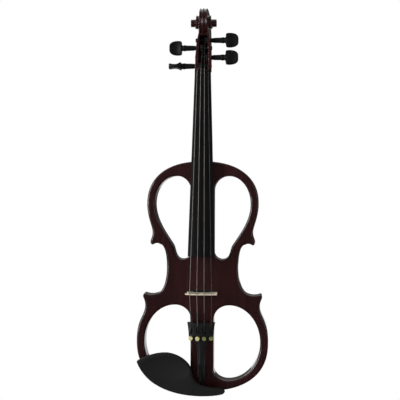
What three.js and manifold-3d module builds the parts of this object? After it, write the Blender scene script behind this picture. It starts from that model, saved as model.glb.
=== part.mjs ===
import * as THREE from 'three';
import { mergeVertices } from 'three/addons/utils/BufferGeometryUtils.js';
import Module from 'manifold-3d';

// An electric violin with an open frame body.
// Everything is laid out with X to the treble side, Y from the front to the back and Z up from the tail end,
// with Y = 0 on the front face of the body. The last lines hang it from its hanger point.
// Lengths are in millimetres.

// Body
const bodyLength = 356;
const bodyThickness = 26;
const edgeRound = 3.5;
const lowerBoutWidth = 204.4;
const upperBoutWidth = 173;
const waistWidth = 110.6;
const cornerDip = 2;
const lowerBoutPower = 2.42;
const upperBoutPower = 2.3;

// Stations of the outline: width as a share of its bout's width, height as a share of the body's length
const lowerStationShares = {
  bout: [1, 0.2191],
  hollow: [0.8718, 0.3708],
  corner: [0.9041, 0.4059],
  end: [0.8826, 0.423],
  root: [0.6849, 0.423],
};
const upperStationShares = {
  root: [0.763, 0.6382],
  end: [0.8971, 0.6348],
  corner: [0.9399, 0.6503],
  hollow: [0.9006, 0.6882],
  bout: [1, 0.8146],
};
const waistHeightShare = 0.5365;
const bridgeHeightShare = 0.432584;

// Openings in the body: shares of the way from the spine to the arm, and of the body's length
const spineWidth = 36.2;
const armWidth = 12.4;
const topRail = 22.8;
const tailRail = 16.9;
const upperOpeningShares = {
  high: [0, 0.8708], top: [0.4, 1], knee: [0.4946, 0.6334], bottom: [0.2304, 0.573], low: [0, 0.6067],
};
const lowerOpeningShares = {
  high: [0, 0.3146], top: [0.3333, 0.3742], wide: [1, 0.2135], bottom: [0.3054, 0], low: [0, 0.0983],
};
const glueLineInset = 1.3;
const glueLineX = spineWidth / 2 + glueLineInset;

// Clearances
const fitGap = 0.3;
const stringGap = 0.2;
const bridgeGap = 0.32;
const cutOverrun = 1;

// Fingerboard, nut, saddle and neck
const neckReach = 135;
const fingerboardLength = 281;
const fingerboardTopZ = bodyLength + neckReach;
const fingerboardEndZ = fingerboardTopZ - fingerboardLength;
const fingerboardNutWidth = 24.6;
const fingerboardEndWidth = 41.6;
const fingerboardEdge = 5.2;
const fingerboardRadius = 42;
const crownAtNut = 9.6;
const crownAtEnd = 26.5;
const nutLength = 4.5;
const nutLift = 0.6;
const neckDepthAtNut = 12.4;
const neckDepthAtHeel = 15;
const heelZ = bodyLength + fitGap;
const heelRise = 22;
const heelButtonWidth = 22;
const tenonWidth = 25.4;
const tenonLength = 7;
const saddleWidth = 30;
const saddleHeight = 9;
const saddleLength = 5.8;
const saddleDepth = 4;

// Head
const pegboxStartZ = fingerboardTopZ + nutLength;
const cavityInset = 2;
const cavityReach = 56;
const cavityStartZ = pegboxStartZ + cavityInset;
const cavityEndZ = pegboxStartZ + cavityReach;
const pegboxWidth = 25.6;
const pegboxRound = 3;
const pegboxChinY = 20;
const cavityWidth = 16.4;
const cavityFloor = 5.5;
const cavityEndWidth = 12;
const scrollReach = 75;
const scrollZ = pegboxStartZ + scrollReach;
const scrollY = 11;
const scrollTopRadius = 23.5;
const scrollDecay = 0.104;
const scrollFluteDepth = 1.3;
const eyeWidth = 40;
const eyeRadius = 5.75;

// Pegs: rise above the nut, depth behind the front plane, side of the head and how far it is turned
const pegPlaces = {
  g: { rise: 7.7, y: 5.5, side: -1, turn: 90 },
  e: { rise: 21.5, y: 9, side: 1, turn: 0 },
  d: { rise: 37, y: 13, side: -1, turn: 0 },
  a: { rise: 49.5, y: 16.5, side: 1, turn: 0 },
};
const pegShaftRadius = 3.5;
const pegTipRadius = 3.2;
const pegReach = 53.4;
const pegHeadLength = 19.4;
const pegHeadHeight = 22;
const pegHeadThickness = 8.2;
const pegHeadBevel = 2;
const pegCollarRadius = 4.1;
const pegFlareRadius = 4.7;
const pegNeckRadius = 3.2;
const pegCollarLength = 2.2;
const pegFlareLength = 3.4;
const pegNeckLength = 1.6;
const pegGripThickness = 5.4;
const pegGripRadius = 40;

// Strings: diameter, place across the nut, across the bridge, height over the end of the fingerboard
const stringSet = {
  g: { diameter: 0.8, nutX: -8.4, bridgeX: -16.5, endHeight: 5, windStart: 2.8, turns: 3 },
  d: { diameter: 0.74, nutX: -2.8, bridgeX: -5.5, endHeight: 4.6, windStart: 1.6, turns: 3 },
  a: { diameter: 0.68, nutX: 2.8, bridgeX: 5.5, endHeight: 4.2, windStart: 1.6, turns: 3 },
  e: { diameter: 0.3, nutX: 8.4, bridgeX: 16.5, endHeight: 3.4, windStart: 4.2, turns: 4 },
};
const windingStep = 0.46;
const loopSteps = 20;
const windingSides = 5;
const stringSides = 6;
const ballDiameter = 3;

// Bridge and pickup
const bridgeZ = bodyLength * bridgeHeightShare;
const bridgeFootThickness = 3.8;
const bridgeTopThickness = 1.6;
const bridgeWidth = 48.4;
const bridgeShoulderDrop = 1.4;
const pickupThickness = 1.6;
const pickupWidth = 49;
const pickupDepth = 6.4;
const leadDiameter = 1.8;
const leadX = -2;

// Tailpiece and fine tuners, in the tailpiece's own frame: v down into it, w up along it
const tailpieceZ = 17.5;
const tailpieceY = -13.2;
const tailpieceTilt = THREE.MathUtils.degToRad(5.4);
const pivotW = 80.5;
const tailpieceTopReach = 10.8;
const tailpieceLength = pivotW + tailpieceTopReach;
const tailpieceWidth = 42.6;
const tailpieceArch = 60;
const tailpieceDepth = 11;
const tailpieceStemDepth = 6;
const tunerSpacing = 10.4;
const screwReach = 11.6;
const screwW = pivotW - screwReach;
const padRadius = 1.5;
const padThickness = 1.2;
const padV = 7;
const pocketMargin = 6;
const pocketWall = 1;
const pocketStartW = screwW - pocketMargin;
const pocketEndWall = 2.5;
const pocketEndW = tailpieceLength - pocketEndWall;
const pocketRoofV = 4.6;
const bellReach = 17;
const bellStartW = screwW - bellReach;
const stemReach = 33;
const stemEndW = screwW - stemReach;
const pivotV = 8;
const pivotRodRadius = 1;
const leverHubRadius = 2.2;
const leverWidth = 2.8;
const leverArmV = 8.5;
const leverArmDepth = 1.7;
const leverOverhang = 1.4;
const leverTailW = screwW - leverOverhang;
const prongThickness = 0.8;
const prongLength = 2.5;
const prongRise = 1.2;
const slotWidth = 3.4;
const slotBelowPivot = 6.1;
const slotAbovePivot = 4.3;
const slotStartW = pivotW - slotBelowPivot;
const slotEndW = pivotW + slotAbovePivot;
const screwHeadRadius = 3.5;
const screwHeadHeight = 2.8;
const screwHeadRise = 3.4;
const screwShankRadius = 1.1;
const gutRadius = 1;
const gutX = 3;
const gutV = 3;
const gutBoreDepth = 12;

// End button
const buttonNeckRadius = 4;
const buttonHeadRadius = 6.5;
const buttonHeadLength = 5.4;
const buttonNeckLength = 4.4;
const buttonShankLength = 28;
const buttonShankRadius = 3.5;
const buttonTipRadius = 3;
const buttonDrop = 0.3;

// Chinrest
const chinTipX = -98;
const chinTipZ = 50;
const chinCrestX = -54;
const chinCrestZ = 63.2;
const chinWaistX = -14;
const chinWaistZ = 37;
const chinWingX = 7;
const chinWingZ = 12.8;
const chinEndX = 36.4;
const chinEndZ = 7.4;
const chinHeelX = 30;
const chinHeelZ = 0.2;
const chinTailX = -5;
const chinTailZ = -1.4;
const chinBellyX = -66.5;
const chinBellyZ = 13.6;
const chinFront = 29;
const chinUnder = 15;
const chinEdge = 3;
const chinDishDepth = 6;
const chinWingFront = 20;
const chinDishX = -54;
const chinDishZ = 39;
const chinDishLength = 88;
const chinDishWidth = 48;
const corkThickness = 2;
const corkInset = 0.8;
const chinFeet = [
  { name: 'bass', from: -44, to: -10, bottom: 8, top: 13.5 },
  { name: 'treble', from: 15.3, to: 30, bottom: 4.2, top: 8.2 },
];

// Chinrest clamp
const clampX = 17;
const clampZ = -3.6;
const rodRadius = 1.5;
const barrelRadius = 2.8;
const barrelFrontY = 2.6;
const barrelLength = 20.8;
const clampPlateThickness = 2;
const clampPlateWidth = 42;
const clampPlateReach = 15;
const clampCorkBottom = 4.4;
const clampRodY = -8.5;
const clampBend = 3;
const postEndY = 9;
const studEndY = 13;
const keyholeRadius = 0.9;

// Electronics in the waist block
const plateLeft = -49;
const plateRight = 11;
const plateDrop = 8;
const plateLength = 50;
const plateBottom = bridgeZ - plateDrop;
const plateTop = plateBottom + plateLength;
const plateThickness = 2.2;
const plateLand = 6;
const pocketDepth = 19;
const plateScrewInset = 3;
const plateScrewHeadRadius = 2.4;
const plateScrewHeadHeight = 1.2;
const plateScrewRadius = 1.2;
const plateScrewLength = 8;
const controlRise = 17.5;
const controlZ = plateBottom + controlRise;
const volumeX = -33.5;
const toneX = -13.5;
const switchX = -0.5;
const knobRadius = 6.5;
const knobHeight = 9;
const knobShaftRadius = 3;
const potRadius = 8;
const potDepth = 9;
const shaftEndY = 13.6;
const switchHousingWidth = 9;
const boardThickness = 1.6;
const boardY = 9.4;
const boardRise = 31;
const boardTopZ = plateBottom + boardRise;
const switchTravel = 4;
const switchWidth = 4;
const switchLength = 5;
const phoneX = -5;
const phoneInset = 11;
const phoneZ = plateTop - phoneInset;
const phoneRadius = 3;
const phoneBoreRadius = 1.8;
const phoneLength = 14;
const phoneFlange = 1.2;
const phoneFlangeRadius = 4.25;
const outputInset = 11.5;
const outputZ = plateTop - outputInset;
const outputY = 14;
const outputRadius = 4.5;
const outputBoreRadius = 3.25;
const outputFlangeRadius = 6.6;
const outputFlange = 1.5;
const outputLength = 29;
const outputSink = 2.1;
const outputSeatX = outputSink - waistWidth / 2;
const batteryWidth = 26.5;
const batteryLength = 48.5;
const batteryDepth = 17.5;
const batteryX = 35.2;
const batteryRise = 1;
const batteryBottomZ = plateBottom + batteryRise;
const doorWidth = 29.2;
const doorLength = 55;
const doorThickness = 1.8;
const notchRadius = 2;
const notchWidth = 9;

// Where the violin hangs: between two prongs under the scroll
const hangerDrop = 8.5;
const hangerZ = scrollZ - hangerDrop;
const hangerY = scrollY;

// Control points of the outline's curves, as shares of the span between their two ends
const quarterFromUprightShares = [0, 0.552, 0.448, 1];
const quarterFromLevelShares = [0.552, 0, 1, 0.448];
const lowerFlankShares = [0, 0.61, 1, 0.7];
const lowerFlareShares = [0, 0.4, 0.45, 0.72];
const lowerTipShares = [-0.29, 0.41, 0, 0.885];
const lowerWaistShares = [0.544, 0.072, 1, 0.431];
const upperWaistShares = [0, 0.414, 0.206, 0.967];
const upperTipShares = [0.53, 0, 1.03, 0.45];
const upperFlareShares = [0.09, 0.26, 1, 0.59];
const upperFlankShares = [0, 0.22, 1, 0.51];
const openingFlankShares = [0, 0.416, 0.676, 0.768];
const openingKneeShares = [0.223, 0.256, 0.189, 1];
const chinCrestShares = [0.27, 0.53, 0.64, 1];
const chinBrowShares = [0.42, 0, 0.92, 0.46];
const chinThroatShares = [0.12, 0.6, 0.38, 0.925];
const chinWingShares = [0.35, 0.4, 0.7, 0.72];
const chinEndShares = [-0.3, 0.35, 0.15, 0.95];
const chinTailShares = [0.2, 1.2, 0.7, 1.3];
const chinBellyShares = [0.38, 0.04, 0.72, 0.35];
const chinSideShares = [0.45, 0.2, 0.87, 0.62];

// How the tailpiece widens above its stem: shares of the way up and of its half-width
const stemWidthShare = 0.27;
const bellShares = [
  [0, 0.27], [0.18, 0.285], [0.303, 0.34], [0.406, 0.42], [0.471, 0.51], [0.507, 0.62],
  [0.54, 0.8], [0.566, 0.87], [0.616, 0.89], [0.796, 0.92], [0.922, 0.96], [1, 1],
];

// One side of the bridge from its shoulder to its middle, and its heart, as shares of half-width and height
const bridgeSideShares = [
  [0.93, 0.78], [1, 0.71], [0.97, 0.63], [0.82, 0.6], [0.75, 0.55], [0.73, 0.47], [0.8, 0.4], [0.83, 0.3],
  [0.87, 0.19], [0.96, 0.12], [0.97, 0], [0.55, 0], [0.54, 0.09], [0.46, 0.17], [0.3, 0.23], [0.1, 0.25],
];
const bridgeHeartShares = [
  [0, 0.37], [0.09, 0.45], [0.16, 0.54], [0.14, 0.61], [0.06, 0.62], [0, 0.56],
  [-0.06, 0.62], [-0.14, 0.61], [-0.16, 0.54], [-0.09, 0.45],
];

// Outline of a peg's head
const pegShoulderShares = [0, 0.6, 0.3, 1];
const pegCrownShares = [0.4, 0.8, 0.7, 1];
const pegFallShares = [0.5, 0, 1, 0.3];

// Materials
function paint(color, roughness, metalness = 0) {
  return new THREE.MeshStandardMaterial({ color, roughness, metalness });
}
const materials = {
  lacquer: paint(0x35161a, 0.2),
  ebony: paint(0x1c1b1b, 0.45),
  maple: paint(0xc4b598, 0.6),
  blackPlastic: paint(0x1a1a1b, 0.4),
  blackWood: paint(0x161616, 0.5),
  brass: paint(0xc9bd6e, 0.3, 1),
  steel: paint(0xb9bcc0, 0.3, 1),
  silver: paint(0x9a9a9c, 0.35, 1),
  cork: paint(0xa98058, 0.9),
  board: paint(0x1d5b36, 0.5),
  batteryCase: paint(0x2b3a55, 0.5),
  piezo: paint(0x121212, 0.5),
  gut: paint(0x151515, 0.5),
};

// Solid modelling
const wasm = await Module();
wasm.setup();
const { Manifold, Mesh: SolidMesh } = wasm;
const mergeDistance = 1e-4;

function toSolid(geometry) {
  const bare = new THREE.BufferGeometry();
  bare.setAttribute('position', geometry.getAttribute('position').clone());
  if (geometry.index) bare.setIndex(geometry.index.clone());
  const merged = mergeVertices(bare, mergeDistance);
  const kept = [];
  const index = merged.index.array;
  for (let i = 0; i < index.length; i += 3) {
    const [a, b, c] = [index[i], index[i + 1], index[i + 2]];
    if (a !== b && b !== c && c !== a) kept.push(a, b, c);
  }
  const vertProperties = Float32Array.from(merged.getAttribute('position').array);
  return new Manifold(new SolidMesh({ numProp: 3, vertProperties, triVerts: Uint32Array.from(kept) }));
}

function toGeometry(solid) {
  const mesh = solid.getMesh();
  const geometry = new THREE.BufferGeometry();
  geometry.setAttribute('position', new THREE.BufferAttribute(Float32Array.from(mesh.vertProperties), 3));
  geometry.setIndex(Array.from(mesh.triVerts));
  const flat = geometry.toNonIndexed();
  flat.computeVertexNormals();
  return flat;
}

const asSolid = (piece) => (piece.isBufferGeometry ? toSolid(piece) : piece);
const fuse = (first, ...rest) => rest.reduce((sum, piece) => sum.add(asSolid(piece)), asSolid(first));
const cut = (first, ...rest) => rest.reduce((left, piece) => left.subtract(asSolid(piece)), asSolid(first));
const keep = (first, second) => asSolid(first).intersect(asSolid(second));

// Geometry helpers
function block(x0, x1, y0, y1, z0, z1) {
  const box = new THREE.BoxGeometry(x1 - x0, y1 - y0, z1 - z0);
  return box.translate((x0 + x1) / 2, (y0 + y1) / 2, (z0 + z1) / 2);
}

function rodAlong(axis, radius, from, to, across, sides = 20) {
  const rod = new THREE.CylinderGeometry(radius, radius, to - from, sides);
  const middle = (from + to) / 2;
  if (axis === 'x') return rod.rotateZ(Math.PI / 2).translate(middle, across[0], across[1]);
  if (axis === 'y') return rod.translate(across[0], middle, across[1]);
  return rod.rotateX(Math.PI / 2).translate(across[0], across[1], middle);
}

// A profile of [distance along, radius] turned round an axis
function turned(profile, axis, sides) {
  const points = profile.map(([along, radius]) => new THREE.Vector2(radius, along));
  const lathe = new THREE.LatheGeometry(points, sides);
  if (axis === 'x') return outward(lathe.rotateZ(-Math.PI / 2));
  if (axis === 'z') return outward(lathe.rotateX(Math.PI / 2));
  return outward(lathe);
}

// How far each point of a closed loop moves inward to round an edge, less where the loop turns too sharply
function insets(loop, round) {
  const count = loop.length;
  const tightest = 0.2;
  const moves = loop.map((point, i) => {
    const before = loop[(i + count - 1) % count];
    const after = loop[(i + 1) % count];
    const arriving = point.clone().sub(before).normalize();
    const leaving = after.clone().sub(point).normalize();
    const inward = new THREE.Vector2(-arriving.y - leaving.y, arriving.x + leaving.x).normalize();
    return inward.multiplyScalar(round / Math.max(Math.sqrt((1 + arriving.dot(leaving)) / 2), 0.7));
  });
  for (let crossing = true; crossing;) {
    crossing = false;
    for (let i = 0; i < count; i++) {
      const j = (i + 1) % count;
      const edge = loop[j].clone().sub(loop[i]);
      const moved = edge.clone().add(moves[j]).sub(moves[i]);
      if (moved.dot(edge) < tightest * edge.lengthSq()) {
        moves[i].multiplyScalar(0.9);
        moves[j].multiplyScalar(0.9);
        crossing = true;
      }
    }
  }
  return moves;
}

// A closed outline in X and Z, made solid from front to back with rounded edges
function slab(outline, front, thickness, round = 0, rounds = 1, holes = []) {
  const loops = [outline, ...holes].map((points, i) => {
    const loop = points.map(([x, z]) => new THREE.Vector2(x, z));
    return THREE.ShapeUtils.isClockWise(loop) === (i > 0) ? loop : loop.reverse();
  });
  const moves = loops.map((loop) => insets(loop, round));
  const levels = [];
  for (let k = 0; k <= (round > 0 ? rounds : 0); k++) {
    const angle = round > 0 ? (Math.PI / 2) * (k / rounds) : Math.PI / 2;
    const depth = round * (1 - Math.cos(angle));
    levels.push({ inset: 1 - Math.sin(angle), y: front + depth });
  }
  levels.push(...levels.map(({ inset, y }) => ({ inset, y: 2 * front + thickness - y })).reverse());

  const flatAt = (inset) => loops.map((loop, i) => (
    loop.map((point, j) => point.clone().addScaledVector(moves[i][j], inset))));
  const positions = [];
  for (const { inset, y } of levels) {
    for (const point of flatAt(inset).flat()) positions.push(point.x, y, point.y);
  }
  const count = loops.flat().length;
  const index = [];
  let first = 0;
  for (const loop of loops) {
    for (let r = 0; r + 1 < levels.length; r++) {
      for (let i = 0; i < loop.length; i++) {
        const a = r * count + first + i;
        const b = r * count + first + ((i + 1) % loop.length);
        index.push(b, a, a + count, b, a + count, b + count);
      }
    }
    first += loop.length;
  }
  const [contour, ...inner] = flatAt(levels[0].inset);
  const last = (levels.length - 1) * count;
  for (const [a, b, c] of THREE.ShapeUtils.triangulateShape(contour, inner)) {
    index.push(a, b, c, last + a, last + c, last + b);
  }
  const geometry = new THREE.BufferGeometry();
  geometry.setAttribute('position', new THREE.Float32BufferAttribute(positions, 3));
  geometry.setIndex(index);
  return outward(geometry);
}

// A closed outline in Y and Z, made solid from x0 to x1
function sideSlab(outline, x0, x1) {
  const shape = new THREE.Shape(outline.map(([y, z]) => new THREE.Vector2(y, z)));
  const geometry = new THREE.ExtrudeGeometry(shape, { depth: x1 - x0, bevelEnabled: false });
  return geometry.rotateX(Math.PI / 2).rotateZ(Math.PI / 2).translate(x0, 0, 0);
}

function outward(geometry) {
  const solidSign = signedVolume(geometry);
  if (solidSign > 0) return geometry;
  const index = geometry.index.array;
  for (let i = 0; i < index.length; i += 3) [index[i + 1], index[i + 2]] = [index[i + 2], index[i + 1]];
  return geometry;
}

function signedVolume(geometry) {
  const place = geometry.getAttribute('position');
  const index = geometry.index.array;
  const [a, b, c] = [new THREE.Vector3(), new THREE.Vector3(), new THREE.Vector3()];
  let sum = 0;
  for (let i = 0; i < index.length; i += 3) {
    a.fromBufferAttribute(place, index[i]);
    b.fromBufferAttribute(place, index[i + 1]);
    c.fromBufferAttribute(place, index[i + 2]);
    sum += a.dot(b.cross(c));
  }
  return sum;
}

// A solid through matching closed rings of points, with flat ends
function loft(rings) {
  const count = rings[0].length;
  const positions = [];
  for (const ring of rings) for (const point of ring) positions.push(...point);
  const index = [];
  for (let r = 0; r + 1 < rings.length; r++) {
    for (let i = 0; i < count; i++) {
      const j = (i + 1) % count;
      const [a, b, c, d] = [r * count + i, r * count + j, (r + 1) * count + i, (r + 1) * count + j];
      index.push(a, b, d, a, d, c);
    }
  }
  const last = (rings.length - 1) * count;
  for (let i = 1; i + 1 < count; i++) index.push(0, i + 1, i, last, last + i, last + i + 1);
  const geometry = new THREE.BufferGeometry();
  geometry.setAttribute('position', new THREE.Float32BufferAttribute(positions, 3));
  geometry.setIndex(index);
  return outward(geometry);
}

// A tube of even radius through points, mitred at its corners
function tube(points, radius, sides) {
  const rings = [];
  let across = null;
  for (let i = 0; i < points.length; i++) {
    const before = points[Math.max(i - 1, 0)];
    const after = points[Math.min(i + 1, points.length - 1)];
    const incoming = points[i].clone().sub(before).normalize();
    const outgoing = after.clone().sub(points[i]).normalize();
    const ahead = incoming.clone().add(outgoing).normalize();
    if (!across) {
      const side = Math.abs(ahead.x) < 0.9 ? new THREE.Vector3(1, 0, 0) : new THREE.Vector3(0, 1, 0);
      across = side.addScaledVector(ahead, -side.dot(ahead)).normalize();
    } else {
      across = across.clone().addScaledVector(ahead, -across.dot(ahead)).normalize();
    }
    const up = new THREE.Vector3().crossVectors(ahead, across);
    rings.push(Array.from({ length: sides }, (_, k) => {
      const angle = (2 * Math.PI * k) / sides;
      const point = points[i].clone();
      point.addScaledVector(across, radius * Math.cos(angle));
      return point.addScaledVector(up, radius * Math.sin(angle));
    }));
  }
  return loft(rings);
}

// One curve of an outline from a to b, its control points given as shares of the span
function bend(a, b, controlShares, steps) {
  const [x1, z1, x2, z2] = controlShares;
  const [dx, dz] = [b[0] - a[0], b[1] - a[1]];
  const curve = new THREE.CubicBezierCurve(
    new THREE.Vector2(a[0], a[1]),
    new THREE.Vector2(a[0] + x1 * dx, a[1] + z1 * dz),
    new THREE.Vector2(a[0] + x2 * dx, a[1] + z2 * dz),
    new THREE.Vector2(b[0], b[1]),
  );
  return curve.getPoints(steps).slice(1).map((point) => [point.x, point.y]);
}

// A level stretch between two corners that dips between them
function dipped(a, b, dip, steps) {
  const points = [];
  for (let i = 1; i <= steps; i++) {
    const share = i / steps;
    const sag = 4 * share * (1 - share) * dip;
    points.push([a[0] + share * (b[0] - a[0]), a[1] + share * (b[1] - a[1]) + sag]);
  }
  return points;
}

// A quarter of a rounded-square curve, from straight below its centre to straight beside it
function boutQuarter(halfWidth, endZ, wideZ, power, steps) {
  return Array.from({ length: steps + 1 }, (_, i) => {
    const angle = (Math.PI / 2) * (i / steps);
    const x = halfWidth * Math.sin(angle) ** (2 / power);
    return [x, wideZ + (endZ - wideZ) * Math.cos(angle) ** (2 / power)];
  });
}

const mirrored = (outline) => outline.map(([x, z]) => [-x, z]);

// Body outline, up the treble side from the middle of the tail end
function placed(width, stationShares) {
  const spots = Object.entries(stationShares).map(([name, [across, up]]) => (
    [name, [(width / 2) * across, bodyLength * up]]));
  return Object.fromEntries(spots);
}

const lower = placed(lowerBoutWidth, lowerStationShares);
const upper = placed(upperBoutWidth, upperStationShares);
const waist = [waistWidth / 2, bodyLength * waistHeightShare];
const halfOutline = [
  ...boutQuarter(lower.bout[0], 0, lower.bout[1], lowerBoutPower, 12),
  ...bend(lower.bout, lower.hollow, lowerFlankShares, 6),
  ...bend(lower.hollow, lower.corner, lowerFlareShares, 3),
  ...bend(lower.corner, lower.end, lowerTipShares, 3),
  ...dipped(lower.end, lower.root, -cornerDip, 4),
  ...bend(lower.root, waist, lowerWaistShares, 6),
  ...bend(waist, upper.root, upperWaistShares, 6),
  ...dipped(upper.root, upper.end, cornerDip, 3),
  ...bend(upper.end, upper.corner, upperTipShares, 3),
  ...bend(upper.corner, upper.hollow, upperFlareShares, 3),
  ...bend(upper.hollow, upper.bout, upperFlankShares, 5),
  ...boutQuarter(upper.bout[0], bodyLength, upper.bout[1], upperBoutPower, 11).reverse().slice(1),
];
const bodyOutline = [...halfOutline.slice(0, -1), ...mirrored(halfOutline.slice(1)).reverse()];

function openingPoints(reach, openingShares) {
  const inner = spineWidth / 2;
  const spots = Object.entries(openingShares).map(([name, [across, up]]) => (
    [name, [inner + across * (reach - inner), bodyLength * up]]));
  return Object.fromEntries(spots);
}

function makeUpperOpening() {
  const reach = upper.bout[0] - armWidth;
  const { high, top, knee, bottom, low } = openingPoints(reach, upperOpeningShares);
  const wide = [reach, upper.bout[1]];
  top[1] -= topRail;
  return [
    high,
    ...bend(high, top, quarterFromUprightShares, 6),
    ...bend(top, wide, quarterFromLevelShares, 8),
    ...bend(wide, knee, openingFlankShares, 6),
    ...bend(knee, bottom, openingKneeShares, 5),
    ...bend(bottom, low, quarterFromLevelShares, 5),
  ];
}

function makeLowerOpening() {
  const reach = lower.bout[0] - armWidth;
  const { high, top, wide, bottom, low } = openingPoints(reach, lowerOpeningShares);
  bottom[1] += tailRail;
  return [
    high,
    ...bend(high, top, quarterFromUprightShares, 6),
    ...bend(top, wide, quarterFromLevelShares, 9),
    ...bend(wide, bottom, quarterFromUprightShares, 9),
    ...bend(bottom, low, quarterFromLevelShares, 5),
  ];
}

const upperOpening = makeUpperOpening();
const lowerOpening = makeLowerOpening();
const openings = [upperOpening, lowerOpening, mirrored(upperOpening), mirrored(lowerOpening)];

// Fingerboard surface: how far in front of the body it lies at a place, and the plane under it
const fingerboardSpan = fingerboardTopZ - fingerboardEndZ;
const alongBoard = (z, atNut, atEnd) => atNut + ((fingerboardTopZ - z) / fingerboardSpan) * (atEnd - atNut);
const arch = (x, radius) => radius - Math.sqrt(radius * radius - x * x);
const boardWidth = (z) => alongBoard(z, fingerboardNutWidth, fingerboardEndWidth);
const crownY = (z) => -alongBoard(z, crownAtNut, crownAtEnd);
const surfaceY = (x, z) => crownY(z) + arch(x, fingerboardRadius);
const underAtNut = surfaceY(fingerboardNutWidth / 2, fingerboardTopZ) + fingerboardEdge;
const underAtEnd = surfaceY(fingerboardEndWidth / 2, fingerboardEndZ) + fingerboardEdge;
const underY = (z) => alongBoard(z, underAtNut, underAtEnd);

// The tailpiece lies in a frame of its own: v into it from its front face, w up along it
const tailpieceFrame = new THREE.Matrix4()
  .makeTranslation(0, tailpieceY, tailpieceZ)
  .multiply(new THREE.Matrix4().makeRotationX(tailpieceTilt));
const tailpiecePoint = (x, v, w) => new THREE.Vector3(x, v, w).applyMatrix4(tailpieceFrame);

const violin = new THREE.Group();

function add(name, piece, material, frame = null) {
  const geometry = toGeometry(asSolid(piece));
  if (frame) geometry.applyMatrix4(frame);
  geometry.translate(0, -hangerY, -hangerZ);
  const mesh = new THREE.Mesh(geometry, material);
  mesh.name = name;
  violin.add(mesh);
}

// Places that more than one piece uses
const plateFront = bodyThickness - plateThickness;
const pocketFloor = bodyThickness - pocketDepth;
const doorBottomZ = batteryBottomZ - (doorLength - batteryLength) / 2;
const doorFront = bodyThickness - doorThickness;
const outputAcross = [outputY, outputZ];
const outputEndX = outputSeatX + outputLength;
const plateScrewPlaces = [
  [plateLeft + plateScrewInset, plateBottom + plateScrewInset],
  [plateRight - plateScrewInset, plateBottom + plateScrewInset],
  [plateLeft + plateScrewInset, plateTop - plateScrewInset],
  [plateRight - plateScrewInset, plateTop - plateScrewInset],
];

// Body: one outline cut into the spine block and two wings along the glue lines
function makeBody() {
  const whole = toSolid(slab(bodyOutline, 0, bodyThickness, edgeRound, 2, openings));
  const reach = lowerBoutWidth;
  const [front, back] = [-cutOverrun, bodyThickness + cutOverrun];
  const [bottom, top] = [-cutOverrun, bodyLength + cutOverrun];
  const middle = block(-glueLineX, glueLineX, front, back, bottom, top);
  const bassHalf = block(-reach, -glueLineX, front, back, bottom, top);
  const trebleHalf = block(glueLineX, reach, front, back, bottom, top);

  const mortiseHalf = tenonWidth / 2 + fitGap;
  const mortise = block(-mortiseHalf, mortiseHalf, front, back, bodyLength - tenonLength - fitGap, top);
  const saddleHalf = saddleWidth / 2 + fitGap;
  const saddleNotch = block(-saddleHalf, saddleHalf, front, saddleDepth + fitGap,
    bottom, saddleLength + fitGap);
  const buttonHole = rodAlong('z', buttonShankRadius + fitGap, bottom, buttonShankLength + fitGap,
    [0, bodyThickness / 2]);
  const leadHole = rodAlong('y', leadDiameter / 2 + fitGap, front, bodyThickness / 2, [leadX, bridgeZ], 12);

  const pocket = block(plateLeft + plateLand, plateRight - plateLand, pocketFloor, back,
    plateBottom + plateLand, plateTop - plateLand);
  const recess = block(plateLeft - fitGap, plateRight + fitGap, plateFront, back,
    plateBottom - fitGap, plateTop + fitGap);
  const screwHoles = plateScrewPlaces.map((place) => rodAlong('y', plateScrewRadius + fitGap,
    bodyThickness - plateScrewHeadHeight - plateScrewLength - fitGap, back, place, 12));
  const jackHole = rodAlong('x', outputRadius + fitGap, outputSeatX - cutOverrun, outputEndX, outputAcross);
  const jackSeat = rodAlong('x', outputFlangeRadius + 2 * fitGap, outputSeatX - plateLand, outputSeatX,
    outputAcross);

  const batteryHalf = batteryWidth / 2 + fitGap;
  const batteryFront = doorFront - batteryDepth - 3 * fitGap;
  const batteryPocket = block(batteryX - batteryHalf, batteryX + batteryHalf, batteryFront, back,
    batteryBottomZ - fitGap, batteryBottomZ + batteryLength + fitGap);
  const doorHalf = doorWidth / 2 + fitGap;
  const doorRecess = block(batteryX - doorHalf, batteryX + doorHalf, doorFront - fitGap, back,
    doorBottomZ - fitGap, doorBottomZ + doorLength + fitGap);

  const bassTools = [pocket, recess, jackHole, jackSeat, ...screwHoles];
  const spine = cut(keep(whole, middle), mortise, saddleNotch, buttonHole, leadHole, ...bassTools);
  add('spine_block', spine, materials.lacquer);
  add('bass_wing', cut(keep(whole, bassHalf), ...bassTools), materials.lacquer);
  add('treble_wing', cut(keep(whole, trebleHalf), batteryPocket, doorRecess), materials.lacquer);
}

// Fingerboard and nut, arched across and tapering along
function archedRing(z, halfWidth, topY, bottomY) {
  const arcSteps = 10;
  const ring = Array.from({ length: arcSteps + 1 }, (_, i) => {
    const x = halfWidth * ((2 * i) / arcSteps - 1);
    return new THREE.Vector3(x, topY(x), z);
  });
  ring.push(new THREE.Vector3(halfWidth, bottomY, z), new THREE.Vector3(-halfWidth, bottomY, z));
  return ring;
}

function makeFingerboard() {
  const ring = (z) => archedRing(z, boardWidth(z) / 2, (x) => surfaceY(x, z), underY(z));
  add('fingerboard', loft([ring(fingerboardEndZ), ring(fingerboardTopZ)]), materials.ebony);

  const half = fingerboardNutWidth / 2;
  const nutRing = (z, lift) => archedRing(z, half, (x) => surfaceY(x, fingerboardTopZ) - lift, underAtNut);
  add('nut', loft([nutRing(fingerboardTopZ, nutLift), nutRing(pegboxStartZ, 0)]), materials.ebony);
}

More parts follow.
